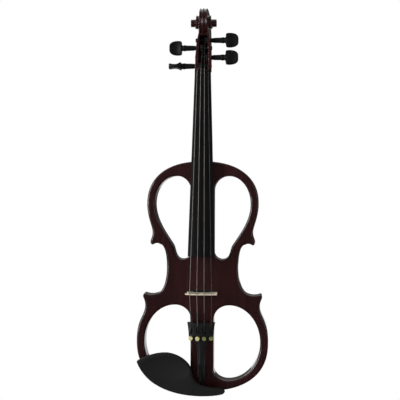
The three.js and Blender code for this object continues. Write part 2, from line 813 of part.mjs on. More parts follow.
// Neck and head. A ring of the neck is flat in front and rounded behind.
function neckRing(z, halfWidth, front, depth) {
  const arcSteps = 10;
  const squareness = 0.75;
  return Array.from({ length: arcSteps + 1 }, (_, i) => {
    const angle = (Math.PI * i) / arcSteps;
    return new THREE.Vector3(halfWidth * Math.cos(angle), front + depth * Math.sin(angle) ** squareness, z);
  });
}

function makeNeck() {
  const length = fingerboardTopZ - heelZ;
  const thickening = neckDepthAtHeel - neckDepthAtNut;
  const depthAt = (z) => neckDepthAtNut + ((fingerboardTopZ - z) / length) * thickening;
  const heelShares = [0, 0.1, 0.25, 0.5, 0.8, 1];
  const fallPower = 2.4;
  const rings = heelShares.map((share) => {
    const z = heelZ + share * heelRise;
    const fall = (1 - share) ** fallPower;
    const fullDepth = bodyThickness - underY(z);
    const half = boardWidth(z) / 2;
    const heelHalf = (half + heelButtonWidth / 2) / 2;
    const depth = depthAt(z) + (fullDepth - depthAt(z)) * fall;
    return neckRing(z, half + (heelHalf - half) * fall, underY(z), depth);
  });
  for (const share of [0.3, 0.6, 0.92, 1]) {
    const z = heelZ + heelRise + share * (fingerboardTopZ - heelZ - heelRise);
    rings.push(neckRing(z, boardWidth(z) / 2, underY(z), depthAt(z)));
  }
  rings.push(neckRing(pegboxStartZ, pegboxWidth / 2, underAtNut, pegboxChinY - underAtNut - cavityFloor));

  const half = tenonWidth / 2;
  const [tenonStart, tenonEnd] = [bodyLength - tenonLength, heelZ + fitGap];
  const tenon = block(-half, half, underY(tenonEnd), bodyThickness, tenonStart, tenonEnd);
  const coverHalf = boardWidth(tenonEnd) / 2;
  const cover = block(-coverHalf, coverHalf, underY(tenonEnd), -fitGap, tenonStart, tenonEnd);
  return fuse(loft(rings), tenon, cover);
}

// Pegbox, from the chin behind the nut to the back of the scroll
const spiralRadius = (angle) => scrollTopRadius * Math.exp(-scrollDecay * (angle - Math.PI / 2));
const pegboxBackY = scrollY + spiralRadius(0);
const pegboxLength = scrollZ - pegboxStartZ;
const pegboxShares = [
  { along: 0, frontWidth: 1, backWidth: 0.94, front: 0, back: 0 },
  { along: 0.3, frontWidth: 0.96, backWidth: 0.93, front: 0.16, back: 0.37 },
  { along: 0.6, frontWidth: 0.84, backWidth: 0.88, front: 0.4, back: 0.72 },
  { along: 0.79, frontWidth: 0.62, backWidth: 0.83, front: 0.66, back: 0.89 },
  { along: 1, frontWidth: 0.6, backWidth: 0.78, front: 1, back: 1 },
];

function makePegbox() {
  const rings = pegboxShares.map(({ along, frontWidth, backWidth, front, back }) => {
    const z = pegboxStartZ + along * pegboxLength;
    const nearY = underAtNut + front * (scrollY - underAtNut);
    const farY = pegboxChinY + back * (pegboxBackY - pegboxChinY);
    const near = (pegboxWidth / 2) * frontWidth;
    const far = (pegboxWidth / 2) * backWidth;
    const sides = [[-near, nearY], [near, nearY], [far, farY - pegboxRound], [far - pegboxRound, farY],
      [pegboxRound - far, farY], [-far, farY - pegboxRound]];
    return sides.map(([x, y]) => new THREE.Vector3(x, y, z));
  });
  return loft(rings);
}

function makeCavity() {
  const backSlope = (pegboxBackY - pegboxChinY) / pegboxLength;
  const ring = (z, width) => {
    const [half, front] = [width / 2, -bodyThickness];
    const floor = pegboxChinY + (z - pegboxStartZ) * backSlope - cavityFloor;
    const corners = [[-half, front], [half, front], [half, floor], [-half, floor]];
    return corners.map(([x, y]) => new THREE.Vector3(x, y, z));
  };
  const middleZ = (cavityStartZ + cavityEndZ) / 2;
  return loft([
    ring(cavityStartZ, cavityWidth), ring(middleZ, cavityWidth), ring(cavityEndZ, cavityEndWidth),
  ]);
}

// The scroll: a spiral whose turns grow wider as they close on the eye
const scrollWidthShares = [
  [0, 0.5], [0.125, 0.4], [0.25, 0.27], [0.5, 0.32], [0.75, 0.37], [1, 0.43], [1.25, 0.58], [1.5, 0.59],
  [1.75, 0.62], [2, 0.78], [2.25, 0.96],
];

function scrollHalfWidth(turn) {
  const after = Math.max(scrollWidthShares.findIndex(([at]) => at >= turn), 1);
  const [t1, w1] = scrollWidthShares[after];
  const [t0, w0] = scrollWidthShares[after - 1];
  return (eyeWidth / 2) * (w0 + ((turn - t0) / (t1 - t0)) * (w1 - w0));
}

// Part of one turn, a fan of wedges round the eye. The rim carries two flutes and a ridge between them.
function scrollFan(firstTurn, lastTurn, steps, fluteDepth, hubWidth) {
  const acrossShares = [-1, -0.5, 0, 0.5, 1];
  const ribs = acrossShares.length;
  const positions = [];
  const index = [];
  for (let i = 0; i <= steps; i++) {
    const turn = firstTurn + ((lastTurn - firstTurn) * i) / steps;
    const angle = 2 * Math.PI * turn;
    for (const share of acrossShares) {
      const sunk = Math.abs(share) === 0.5 ? fluteDepth : 0;
      const radius = spiralRadius(angle) - sunk;
      positions.push(scrollHalfWidth(turn) * share, radius * Math.cos(angle), radius * Math.sin(angle));
    }
  }
  const hub = (steps + 1) * ribs;
  positions.push(-hubWidth / 2, 0, 0, hubWidth / 2, 0, 0);
  for (let i = 0; i < steps; i++) {
    const [a, b] = [i * ribs, (i + 1) * ribs];
    for (let k = 0; k + 1 < ribs; k++) index.push(a + k, a + k + 1, b + k + 1, a + k, b + k + 1, b + k);
    index.push(hub, a, b, hub + 1, b + ribs - 1, a + ribs - 1);
  }
  const end = steps * ribs;
  for (let k = 0; k + 1 < ribs; k++) index.push(hub, k + 1, k, hub, end + k, end + k + 1);
  index.push(hub, hub + 1, ribs - 1, hub, end + ribs - 1, hub + 1);
  const geometry = new THREE.BufferGeometry();
  geometry.setAttribute('position', new THREE.Float32BufferAttribute(positions, 3));
  geometry.setIndex(index);
  return outward(geometry).translate(0, scrollY, scrollZ);
}

function makeHead() {
  const turnParts = [
    scrollFan(0, 0.52, 13, scrollFluteDepth, pegboxWidth * 0.6),
    scrollFan(0.5, 1.02, 11, scrollFluteDepth, pegboxWidth * 0.6),
    scrollFan(1, 1.52, 9, scrollFluteDepth / 2, eyeWidth * 0.56),
    scrollFan(1.5, 2.02, 8, 0, eyeWidth * 0.66),
    scrollFan(2, 2.25, 6, 0, eyeWidth * 0.9),
  ];
  const eye = rodAlong('x', eyeRadius, -eyeWidth / 2, eyeWidth / 2, [scrollY, scrollZ], 20);
  const head = fuse(makePegbox(), eye, ...turnParts);
  const pegHoles = Object.values(pegPlaces).map(({ y, rise }) =>
    rodAlong('x', pegShaftRadius + fitGap, -pegboxWidth, pegboxWidth, [y, pegboxStartZ + rise], 16));
  add('neck_and_head', cut(fuse(makeNeck(), head), makeCavity(), ...pegHoles), materials.lacquer);
}

// Pegs: made along X with the head at the far end, then set in the pegbox
function makePegs() {
  const headStart = pegReach - pegHeadLength;
  const flareStart = headStart - pegFlareLength;
  const neckStart = flareStart - pegNeckLength;
  const collarStart = neckStart - pegCollarLength;
  const tip = -pegboxWidth / 2 - fitGap;
  const stemEnd = headStart + 2 * pegHeadBevel;
  const stem = turned([
    [tip, 0], [tip, pegTipRadius], [collarStart, pegShaftRadius], [collarStart, pegCollarRadius],
    [neckStart, pegCollarRadius], [neckStart + pegNeckLength / 2, pegNeckRadius], [flareStart, pegNeckRadius],
    [(flareStart + headStart) / 2, pegFlareRadius], [headStart, pegFlareRadius],
    [stemEnd, pegNeckRadius], [stemEnd, 0],
  ], 'x', 12);
  const high = pegHeadHeight / 2;
  const root = [headStart, pegFlareRadius / 2];
  const shoulder = [headStart + pegHeadLength * 0.07, high * 0.92];
  const widest = [headStart + pegHeadLength * 0.34, high];
  const outerEnd = [pegReach, high * 0.25];
  const upper = [
    root,
    ...bend(root, shoulder, pegShoulderShares, 2),
    ...bend(shoulder, widest, pegCrownShares, 2),
    ...bend(widest, outerEnd, pegFallShares, 4),
  ];
  const lower = upper.map(([x, v]) => [x, -v]).reverse();
  const leaf = slab([...upper, ...lower], -pegHeadThickness / 2, pegHeadThickness, pegHeadBevel, 1);
  const gripX = headStart + pegHeadLength / 2;
  const gripY = pegGripThickness / 2 + pegGripRadius;
  const grips = [-1, 1].map((face) => rodAlong('z', pegGripRadius, -high, high, [gripX, face * gripY], 54));
  const peg = fuse(stem, cut(leaf, ...grips));
  for (const [name, { y, rise, side, turn }] of Object.entries(pegPlaces)) {
    const frame = new THREE.Matrix4()
      .makeTranslation(0, y, pegboxStartZ + rise)
      .multiply(new THREE.Matrix4().makeRotationX(THREE.MathUtils.degToRad(turn)))
      .multiply(new THREE.Matrix4().makeRotationZ(side < 0 ? Math.PI : 0));
    add(`peg_${name}`, peg, materials.blackWood, frame);
  }
}

// Strings
const tunerX = {
  g: -1.5 * tunerSpacing,
  d: -0.5 * tunerSpacing,
  a: 0.5 * tunerSpacing,
  e: 1.5 * tunerSpacing,
};
const tailpieceSink = (x) => arch(x, tailpieceArch);
const ballW = pivotW - prongLength - fitGap - ballDiameter / 2;

// Height of a string over the nut and over the bridge, from its height over the end of the fingerboard
function stringHeights({ diameter, nutX, bridgeX, endHeight }) {
  const nutY = surfaceY(nutX, fingerboardTopZ) - nutLift - stringGap - diameter / 2;
  const share = fingerboardSpan / (fingerboardTopZ - bridgeZ);
  const endX = nutX + (bridgeX - nutX) * share;
  const endY = surfaceY(endX, fingerboardEndZ) - endHeight - diameter / 2;
  return { nutY, bridgeY: nutY + (endY - nutY) / share };
}

// Least clear distance between parts of one tube that are at least half a loop apart
function leastGap(points, diameter) {
  let least = Infinity;
  for (let i = 0; i < points.length; i++) {
    for (let j = i + loopSteps / 2; j < points.length; j++) {
      least = Math.min(least, points[i].distanceTo(points[j]));
    }
  }
  return least - diameter;
}

function makeString(name) {
  const size = stringSet[name];
  const { diameter, nutX, bridgeX, windStart, turns } = size;
  const { y, rise, side } = pegPlaces[name];
  const z = pegboxStartZ + rise;
  const radius = diameter / 2;
  const { nutY, bridgeY } = stringHeights(size);
  const rearNut = new THREE.Vector3(nutX, nutY + nutLift / 2, pegboxStartZ);

  // The straight run from the nut meets the peg's coil at a tangent
  const coil = pegShaftRadius + fitGap + radius;
  const startX = side * windStart;
  const [towardY, towardZ] = [y - rearNut.y, z - rearNut.z];
  const distance = Math.hypot(towardY, towardZ);
  const heading = Math.atan2(towardZ, towardY) + Math.asin(coil / distance);
  const run = Math.sqrt(distance ** 2 - coil ** 2);
  const ahead = new THREE.Vector3(0, Math.cos(heading), Math.sin(heading));
  const touch = new THREE.Vector3(startX, rearNut.y, rearNut.z).addScaledVector(ahead, run);
  const lead = Math.sqrt((coil + diameter + fitGap) ** 2 - coil ** 2);
  const leadStart = touch.clone().addScaledVector(ahead, -lead);
  const stringEnd = touch.clone().addScaledVector(ahead, -lead - fitGap);

  const startAngle = heading + Math.PI / 2;
  const pitch = diameter + windingStep;
  const path = [leadStart, leadStart.clone().lerp(touch, 0.5)];
  for (let i = 0; i <= turns * loopSteps; i++) {
    const angle = startAngle - (2 * Math.PI * i) / loopSteps;
    path.push(new THREE.Vector3(
      startX + (side * pitch * i) / loopSteps,
      y + coil * Math.cos(angle),
      z + coil * Math.sin(angle),
    ));
  }
  path.push(path.at(-1).clone().addScaledVector(ahead, diameter));
  console.log(`winding_${name}: least gap to itself ${leastGap(path, diameter).toFixed(2)} mm`);
  add(`winding_${name}`, tube(path, radius, windingSides), materials.silver);

  // The string from its ball in the tuner, over the tailpiece's edge, the bridge and the nut
  const tuner = tunerX[name];
  const over = tailpieceSink(tuner) - radius - stringGap;
  const ball = tailpiecePoint(tuner, tailpieceSink(tuner), ballW);
  const points = [
    ball,
    tailpiecePoint(tuner, over, slotEndW - radius - fitGap),
    tailpiecePoint(tuner, over, tailpieceLength - radius),
    new THREE.Vector3(bridgeX, bridgeY, bridgeZ),
    new THREE.Vector3(nutX, nutY, fingerboardTopZ),
    rearNut,
    stringEnd,
  ];
  const ballEnd = new THREE.SphereGeometry(ballDiameter / 2, 8, 6).translate(ball.x, ball.y, ball.z);
  add(`string_${name}`, fuse(tube(points, radius, stringSides), ballEnd), materials.silver);
}

// Bridge: an arched top on two feet, with a heart and open sides
function bridgeCrest(x) {
  const places = Object.values(stringSet).map((size) => {
    const { bridgeY } = stringHeights(size);
    return [size.bridgeX, -bridgeY - size.diameter / 2 - bridgeGap];
  });
  const beyond = places.findIndex(([at]) => at > x);
  const after = beyond < 0 ? places.length - 1 : Math.max(beyond, 1);
  const [[x0, h0], [x1, h1]] = [places[after - 1], places[after]];
  return h0 + ((x - x0) / (x1 - x0)) * (h1 - h0);
}

function makeBridge() {
  const half = bridgeWidth / 2;
  const outer = stringSet.e.bridgeX;
  const rise = bridgeCrest(0) - pickupThickness;
  const at = ([x, h]) => [x * half, pickupThickness + h * rise];
  const shoulder = (side) => [side * outer * 1.18, bridgeCrest(side * outer) - bridgeShoulderDrop];
  const inner = stringSet.a.bridgeX;
  const top = [shoulder(-1), ...[-outer, -inner, inner, outer].map((x) => [x, bridgeCrest(x)]), shoulder(1)];
  const right = bridgeSideShares.map(at);
  const left = right.map(([x, h]) => [-x, h]).reverse();
  const heart = bridgeHeartShares.map(at);
  const lean = bridgeFootThickness - bridgeTopThickness;
  const tailSide = bridgeZ + bridgeTopThickness / 2 - bridgeFootThickness;
  const outline = [...top, ...right, ...left];
  const plate = slab(outline, tailSide, bridgeFootThickness, 0, 1, [heart]).rotateX(Math.PI / 2);

  const footTop = pickupThickness + rise * 0.2;
  const peak = bridgeCrest(0) + cutOverrun;
  const wedge = [
    [-footTop, tailSide], [-peak, tailSide + lean], [-peak, tailSide - lean], [-footTop, tailSide - lean],
  ];
  const taper = sideSlab(wedge, -half - cutOverrun, half + cutOverrun);
  add('bridge', cut(plate, taper), materials.maple);

  const barHalf = pickupWidth / 2;
  const bar = block(-barHalf, barHalf, -pickupThickness, 0,
    bridgeZ - pickupDepth / 2, bridgeZ + pickupDepth / 2);
  add('bridge_pickup', bar, materials.piezo);
  const leadEnds = [new THREE.Vector3(leadX, 0, bridgeZ), new THREE.Vector3(leadX, boardY, bridgeZ)];
  add('pickup_lead', tube(leadEnds, leadDiameter / 2, stringSides), materials.piezo);
}

// Saddle, end button and tail gut
function makeTailEnd() {
  const half = saddleWidth / 2;
  add('saddle', block(-half, half, -saddleHeight, saddleDepth, 0, saddleLength), materials.ebony);

  const middle = bodyThickness / 2;
  const neckStart = -buttonDrop - buttonNeckLength;
  const headShares = [[1, 0.6], [0.8, 0.92], [0.5, 1], [0.15, 0.9]];
  const button = turned([
    [neckStart - buttonHeadLength, 0],
    ...headShares.map(([along, wide]) => [neckStart - buttonHeadLength * along, buttonHeadRadius * wide]),
    [neckStart, buttonNeckRadius], [-buttonDrop, buttonNeckRadius], [-buttonDrop, buttonShankRadius],
    [buttonShankLength, buttonTipRadius], [buttonShankLength, 0],
  ], 'z', 20).translate(0, middle, 0);
  add('end_button', button, materials.blackWood);

  const loop = buttonNeckRadius + gutRadius + fitGap;
  const reach = gutRadius + fitGap;
  const left = [
    tailpiecePoint(-gutX, gutV, gutBoreDepth - fitGap),
    tailpiecePoint(-gutX, gutV, -fitGap),
    new THREE.Vector3(-gutX, -saddleHeight - reach, saddleLength),
    new THREE.Vector3(-gutX, -saddleHeight - reach, 0),
    new THREE.Vector3(-gutX, -saddleHeight - reach * 0.7, -reach * 0.7),
    new THREE.Vector3(-gutX, -saddleHeight, -reach),
  ];
  const arcSteps = 16;
  const bendPoints = Array.from({ length: arcSteps + 1 }, (_, i) => {
    const angle = Math.PI * (1 - i / arcSteps);
    return new THREE.Vector3(loop * Math.cos(angle), middle + loop * Math.sin(angle), -reach);
  });
  const right = left.map((point) => point.clone().setX(-point.x)).reverse();
  add('tail_gut', tube([...left, ...bendPoints, ...right], gutRadius, stringSides), materials.gut);
}

// Tailpiece, with a pocket under its bell for the four tuners
const bellPlaces = bellShares.map(([up, wide]) => (
  [stemEndW + up * (tailpieceLength - stemEndW), (tailpieceWidth / 2) * wide]));
const tailpieceHalf = (w) => {
  const after = Math.max(bellPlaces.findIndex(([at]) => at >= w), 1);
  const [[w0, h0], [w1, h1]] = [bellPlaces[after - 1], bellPlaces[after]];
  return h0 + ((w - w0) / (w1 - w0)) * (h1 - h0);
};

function makeTailpiece() {
  const sides = [[(tailpieceWidth / 2) * stemWidthShare, 0], ...bellPlaces.map(([w, half]) => [half, w])];
  const outline = [...sides, ...mirrored(sides).reverse()];
  const body = slab(outline, 0, tailpieceDepth, 0);
  const reach = tailpieceWidth;
  const top = tailpieceLength + cutOverrun;
  const archSolid = rodAlong('z', tailpieceArch, -cutOverrun, top, [0, tailpieceArch], 144);
  const behind = tailpieceDepth + cutOverrun;
  const stemCut = block(-reach, reach, tailpieceStemDepth, behind, -cutOverrun, bellStartW);

  const pocketWs = [pocketStartW, screwW - 2 * padRadius, screwW, pivotW, pocketEndW];
  const pocketSides = pocketWs.map((w) => [tailpieceHalf(w) - pocketWall, w]);
  const pocket = slab([...pocketSides, ...mirrored(pocketSides).reverse()], pocketRoofV, tailpieceDepth, 0);
  const rodHole = rodAlong('x', pivotRodRadius + fitGap, -reach, reach, [pivotV, pivotW], 12);
  const tools = Object.values(tunerX).flatMap((x) => [
    block(x - slotWidth / 2, x + slotWidth / 2, -cutOverrun, tailpieceDepth, slotStartW, slotEndW),
    rodAlong('y', screwShankRadius + fitGap, -cutOverrun, tailpieceDepth, [x, screwW], 12),
  ]);
  const bores = [-gutX, gutX].map((x) => (
    rodAlong('z', gutRadius + fitGap, -cutOverrun, gutBoreDepth, [x, gutV], 12)));
  const carved = cut(keep(body, archSolid), stemCut, pocket, rodHole, ...tools, ...bores);
  add('tailpiece', carved, materials.blackPlastic, tailpieceFrame);

  const rodHalf = tailpieceHalf(pivotW) - fitGap;
  const rod = rodAlong('x', pivotRodRadius, -rodHalf, rodHalf, [pivotV, pivotW], 12);
  add('tuner_pivot_rod', rod, materials.steel, tailpieceFrame);
}

// One fine tuner: the thumb screw, the pad under its tip and the lever that holds the string's ball
function makeTuner(name) {
  const x = tunerX[name];
  const top = tailpieceSink(x);
  const half = leverWidth / 2;
  const headBottom = top - screwHeadRise;
  const headShares = [[1, 0.8], [0.8, 1], [0.2, 1], [0, 0.8]];
  const screw = turned([
    [headBottom - screwHeadHeight, 0],
    ...headShares.map(([rise, wide]) => [headBottom - screwHeadHeight * rise, screwHeadRadius * wide]),
    [headBottom, screwShankRadius], [padV - fitGap, screwShankRadius], [padV - fitGap, 0],
  ], 'y', 16).translate(x, 0, screwW);
  add(`tuner_screw_${name}`, screw, materials.brass, tailpieceFrame);

  const pad = rodAlong('y', padRadius, padV, padV + padThickness, [x, screwW], 12);
  add(`tuner_pad_${name}`, pad, materials.brass, tailpieceFrame);

  const prongs = [-1, 1].map((side) => {
    const [near, far] = [side * (half - prongThickness), side * half];
    const [left, right] = [Math.min(near, far), Math.max(near, far)];
    return block(left, right, top - prongRise, pivotV, pivotW - prongLength, pivotW);
  });
  const hub = rodAlong('x', leverHubRadius, x - half, x + half, [pivotV, pivotW], 16);
  const arm = block(x - half, x + half, leverArmV, leverArmV + leverArmDepth, leverTailW, pivotW);
  const hole = rodAlong('x', pivotRodRadius + fitGap, x - leverWidth, x + leverWidth, [pivotV, pivotW], 12);
  const lever = cut(fuse(hub, arm, ...prongs.map((prong) => prong.translate(x, 0, 0))), hole);
  add(`tuner_lever_${name}`, lever, materials.brass, tailpieceFrame);
}

// Chinrest, with two feet on cork, and the clamp that holds it to the tail end
function makeChinrest() {
  const tip = [chinTipX, chinTipZ];
  const crest = [chinCrestX, chinCrestZ];
  const waist = [chinWaistX, chinWaistZ];
  const wing = [chinWingX, chinWingZ];
  const end = [chinEndX, chinEndZ];
  const heel = [chinHeelX, chinHeelZ];
  const tail = [chinTailX, chinTailZ];
  const belly = [chinBellyX, chinBellyZ];
  const outline = [
    ...bend(tip, crest, chinCrestShares, 6),
    ...bend(crest, waist, chinBrowShares, 6),
    ...bend(waist, wing, chinThroatShares, 6),
    ...bend(wing, end, chinWingShares, 3),
    ...bend(end, heel, chinEndShares, 4),
    ...bend(heel, tail, chinTailShares, 4),
    ...bend(tail, belly, chinBellyShares, 5),
    ...bend(belly, tip, chinSideShares, 6),
  ];
  const plate = slab(outline, -chinFront, chinFront - chinUnder, chinEdge, 2);
  const dish = new THREE.SphereGeometry(1, 28, 18)
    .scale(chinDishLength / 2, 2 * chinDishDepth, chinDishWidth / 2)
    .translate(chinDishX, -chinFront - chinDishDepth, chinDishZ);
  const wingCut = new THREE.ExtrudeGeometry(new THREE.Shape([
    new THREE.Vector2(chinWaistX, -chinFront),
    new THREE.Vector2(chinEndX + chinEdge, -chinWingFront),
    new THREE.Vector2(chinEndX + chinEdge, -chinFront - cutOverrun),
    new THREE.Vector2(chinWaistX, -chinFront - cutOverrun),
  ]), { depth: chinCrestZ, bevelEnabled: false }).translate(0, 0, chinTailZ - chinEdge);
  const feet = chinFeet.map(({ from, to, bottom, top }) =>
    block(from, to, -chinUnder - chinEdge, -corkThickness, bottom, top));
  add('chinrest', fuse(cut(plate, dish, wingCut), ...feet), materials.blackPlastic);

  for (const { name, from, to, bottom, top } of chinFeet) {
    const pad = block(from + corkInset, to - corkInset, -corkThickness, 0,
      bottom + corkInset, top - corkInset);
    add(`chinrest_cork_${name}`, pad, materials.cork);
  }
}

function makeClamp() {
  const barrelEnd = barrelFrontY + barrelLength;
  const plateFrontY = bodyThickness + corkThickness;
  chinFeet.forEach(({ name, bottom }) => {
    const x = name === 'bass' ? -clampX : clampX;
    const corner = clampRodY + clampBend;
    const post = [
      new THREE.Vector3(x, clampRodY, bottom),
      new THREE.Vector3(x, clampRodY, clampZ + clampBend),
      new THREE.Vector3(x, clampRodY + clampBend * 0.3, clampZ + clampBend * 0.3),
      new THREE.Vector3(x, corner, clampZ),
      new THREE.Vector3(x, postEndY, clampZ),
    ];
    add(`clamp_post_${name}`, tube(post, rodRadius, 12), materials.steel);
    const across = [x, clampZ];
    const bore = rodAlong('y', rodRadius + fitGap, barrelFrontY - cutOverrun, barrelEnd + cutOverrun,
      across, 12);
    const keyhole = rodAlong('x', keyholeRadius, x - 2 * barrelRadius, x + 2 * barrelRadius,
      [barrelFrontY + barrelLength / 2, clampZ], 10);
    const barrel = rodAlong('y', barrelRadius, barrelFrontY, barrelEnd, across, 16);
    add(`clamp_barrel_${name}`, cut(barrel, bore, keyhole), materials.steel);
  });

  const half = clampPlateWidth / 2;
  const plateBackY = plateFrontY + clampPlateThickness;
  const plate = block(-half, half, plateFrontY, plateBackY, clampZ - 2 * rodRadius, clampPlateReach);
  const studs = [-clampX, clampX].map((x) => (
    rodAlong('y', rodRadius, studEndY, plateFrontY + rodRadius, [x, clampZ], 12)));
  add('clamp_foot', fuse(plate, ...studs), materials.steel);
  const corkHalf = half - fitGap;
  const pad = block(-corkHalf, corkHalf, bodyThickness, plateFrontY, clampCorkBottom, clampPlateReach);
  add('clamp_cork', pad, materials.cork);
}

// Controls on the back plate, the board behind them and the jacks
function makeControls() {
  const controls = [[volumeX, controlZ], [toneX, controlZ]];
  const half = [switchWidth / 2 + fitGap, (switchLength + switchTravel) / 2 + fitGap];
  const behind = bodyThickness + cutOverrun;
  const slot = block(switchX - half[0], switchX + half[0], 0, behind, controlZ - half[1], controlZ + half[1]);
  const plate = block(plateLeft, plateRight, plateFront, bodyThickness, plateBottom, plateTop);
  const tools = controls.map((place) => rodAlong('y', knobShaftRadius + fitGap, 0, behind, place));
  const phoneHole = rodAlong('y', phoneRadius + fitGap, 0, behind, [phoneX, phoneZ]);
  const headSeat = bodyThickness - plateScrewHeadHeight - fitGap;
  const sinks = plateScrewPlaces.flatMap((place) => [
    rodAlong('y', plateScrewHeadRadius + fitGap, headSeat, behind, place, 16),
    rodAlong('y', plateScrewRadius + fitGap, 0, bodyThickness, place, 12),
  ]);
  add('control_plate', cut(plate, slot, phoneHole, ...tools, ...sinks), materials.blackPlastic);

  plateScrewPlaces.forEach(([x, z], i) => {
    const start = bodyThickness - plateScrewHeadHeight;
    const screw = turned([
      [start - plateScrewLength, 0], [start - plateScrewLength, plateScrewRadius * 0.6],
      [start - plateScrewLength + plateScrewRadius, plateScrewRadius], [start, plateScrewRadius],
      [start, plateScrewHeadRadius], [bodyThickness - plateScrewHeadHeight / 2, plateScrewHeadRadius],
      [bodyThickness, plateScrewHeadRadius * 0.7], [bodyThickness, 0],
    ], 'y', 12).translate(x, 0, z);
    add(`plate_screw_${i + 1}`, screw, materials.steel);
  });

  const boardBack = boardY + boardThickness;
  const [boardLeft, boardRight] = [plateLeft + plateLand + fitGap, plateRight - plateLand - fitGap];
  const boardBottom = plateBottom + plateLand + fitGap;
  const board = block(boardLeft, boardRight, boardY, boardBack, boardBottom, boardTopZ);
  const pots = controls.map((place) => rodAlong('y', potRadius, boardY, boardBack + potDepth, place));
  const bores = controls.map((place) => (
    rodAlong('y', knobShaftRadius + fitGap, shaftEndY - fitGap, bodyThickness, place)));
  const housingHalf = switchHousingWidth / 2;
  const housing = block(switchX - housingHalf, switchX + housingHalf, boardY, boardBack + potDepth,
    controlZ - potRadius, controlZ + potRadius);
  add('circuit_board', cut(fuse(board, ...pots, housing), ...bores), materials.board);

  const knobFront = bodyThickness + 2 * fitGap;
  for (const [name, x] of [['volume_knob', volumeX], ['tone_knob', toneX]]) {
    const knob = turned([
      [shaftEndY, 0], [shaftEndY, knobShaftRadius], [knobFront, knobShaftRadius], [knobFront, knobRadius],
      [knobFront + knobHeight * 0.8, knobRadius * 0.94], [knobFront + knobHeight, knobRadius * 0.8],
      [knobFront + knobHeight, 0],
    ], 'y', 24).translate(x, 0, controlZ);
    const knobBack = knobFront + knobHeight;
    const pointer = block(x - fitGap, x + fitGap, knobBack - 2 * fitGap, knobBack + fitGap,
      controlZ + knobRadius * 0.3, controlZ + knobRadius * 0.75);
    add(name, fuse(knob, pointer), materials.blackPlastic);
  }

  const restZ = controlZ - switchTravel / 2;
  const baseFront = boardBack + potDepth + fitGap;
  const baseBack = plateFront - fitGap;
  const base = block(switchX - switchWidth, switchX + switchWidth, baseFront, baseBack,
    restZ - switchLength, restZ + switchLength);
  const stem = block(switchX - switchWidth / 2, switchX + switchWidth / 2,
    baseFront, bodyThickness + switchLength / 2, restZ - switchLength / 2, restZ + switchLength / 2);
  add('power_switch', fuse(base, stem), materials.blackPlastic);

  const phoneStart = bodyThickness + phoneFlange - phoneLength;
  const phonePlace = [phoneX, phoneZ];
  const phone = fuse(
    rodAlong('y', phoneRadius, phoneStart, bodyThickness + phoneFlange, phonePlace),
    rodAlong('y', phoneFlangeRadius, bodyThickness, bodyThickness + phoneFlange, phonePlace),
  );
  const phoneBore = rodAlong('y', phoneBoreRadius, phoneStart + phoneFlange, bodyThickness + phoneLength,
    phonePlace);
  add('headphone_jack', cut(phone, phoneBore), materials.steel);

  const jack = fuse(
    rodAlong('x', outputRadius, outputSeatX - outputFlange, outputEndX, outputAcross),
    rodAlong('x', outputFlangeRadius, outputSeatX - outputFlange, outputSeatX, outputAcross),
  );
  const jackBore = rodAlong('x', outputBoreRadius, outputSeatX - outputLength, outputEndX - outputFlange,
    outputAcross);
  add('output_jack', cut(jack, jackBore), materials.steel);
}

// Battery and its door, which turns on its lower edge
function makeBattery() {
  const half = batteryWidth / 2;
  const back = doorFront - fitGap;
  const terminalLength = batteryLength * 0.05;
  const bodyTop = batteryBottomZ + batteryLength - terminalLength;
  const can = block(batteryX - half, batteryX + half, back - batteryDepth, back, batteryBottomZ, bodyTop);
  const terminals = [-1, 1].map((side) => (
    rodAlong('z', batteryWidth * 0.13, bodyTop - terminalLength, bodyTop + terminalLength,
      [batteryX + side * half * 0.5, back - batteryDepth / 2], 12)));
  add('battery', fuse(can, ...terminals), materials.batteryCase);

  const radius = doorThickness / 2;
  const hingeY = bodyThickness - radius;
  const hingeZ = doorBottomZ + radius;
  const [left, right] = [batteryX - doorWidth / 2, batteryX + doorWidth / 2];
  const leaf = block(left, right, doorFront, bodyThickness, hingeZ, doorBottomZ + doorLength);
  const roll = rodAlong('x', radius, left, right, [hingeY, hingeZ], 16);
  const notch = rodAlong('x', notchRadius, batteryX - notchWidth / 2, batteryX + notchWidth / 2,
    [bodyThickness + notchRadius / 2, doorBottomZ + doorLength], 16);
  add('battery_door', cut(fuse(leaf, roll), notch), materials.blackPlastic);
}

makeBody();
makeHead();
makeFingerboard();
makeBridge();
makeTailEnd();
makeTailpiece();
makePegs();
for (const name of Object.keys(stringSet)) {
  makeString(name);
  makeTuner(name);
}
makeChinrest();
makeClamp();
makeControls();
makeBattery();

export default violin;
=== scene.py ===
import math

import bmesh
import bpy
import numpy as np
from mathutils import Matrix, Vector
from mathutils.geometry import tessellate_polygon


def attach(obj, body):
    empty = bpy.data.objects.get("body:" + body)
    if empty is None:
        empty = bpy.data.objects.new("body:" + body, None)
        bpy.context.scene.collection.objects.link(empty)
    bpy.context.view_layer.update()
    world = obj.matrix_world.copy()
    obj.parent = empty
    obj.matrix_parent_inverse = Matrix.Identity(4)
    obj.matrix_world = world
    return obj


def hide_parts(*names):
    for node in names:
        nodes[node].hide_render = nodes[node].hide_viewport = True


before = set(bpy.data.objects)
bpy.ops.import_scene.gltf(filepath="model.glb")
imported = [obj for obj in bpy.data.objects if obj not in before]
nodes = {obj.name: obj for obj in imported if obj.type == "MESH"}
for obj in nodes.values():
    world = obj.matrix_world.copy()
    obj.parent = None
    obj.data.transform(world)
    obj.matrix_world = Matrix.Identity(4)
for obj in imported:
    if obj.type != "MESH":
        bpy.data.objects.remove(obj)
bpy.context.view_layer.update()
print("frame loaded:", len(nodes), "nodes")

# Sizes are in millimetres on the violin: x to the treble side, y from the front face to the back, z up from
# the tail end. at() turns them into metres from the hanger point.
hanger = {"y": 11, "z": 562}


def at(x, y, z):
    return Vector((x, y - hanger["y"], z - hanger["z"])) / 1000


def linked(name, data):
    holder = bpy.data.objects.new(name, data)
    bpy.context.scene.collection.objects.link(holder)
    return holder


# Camera

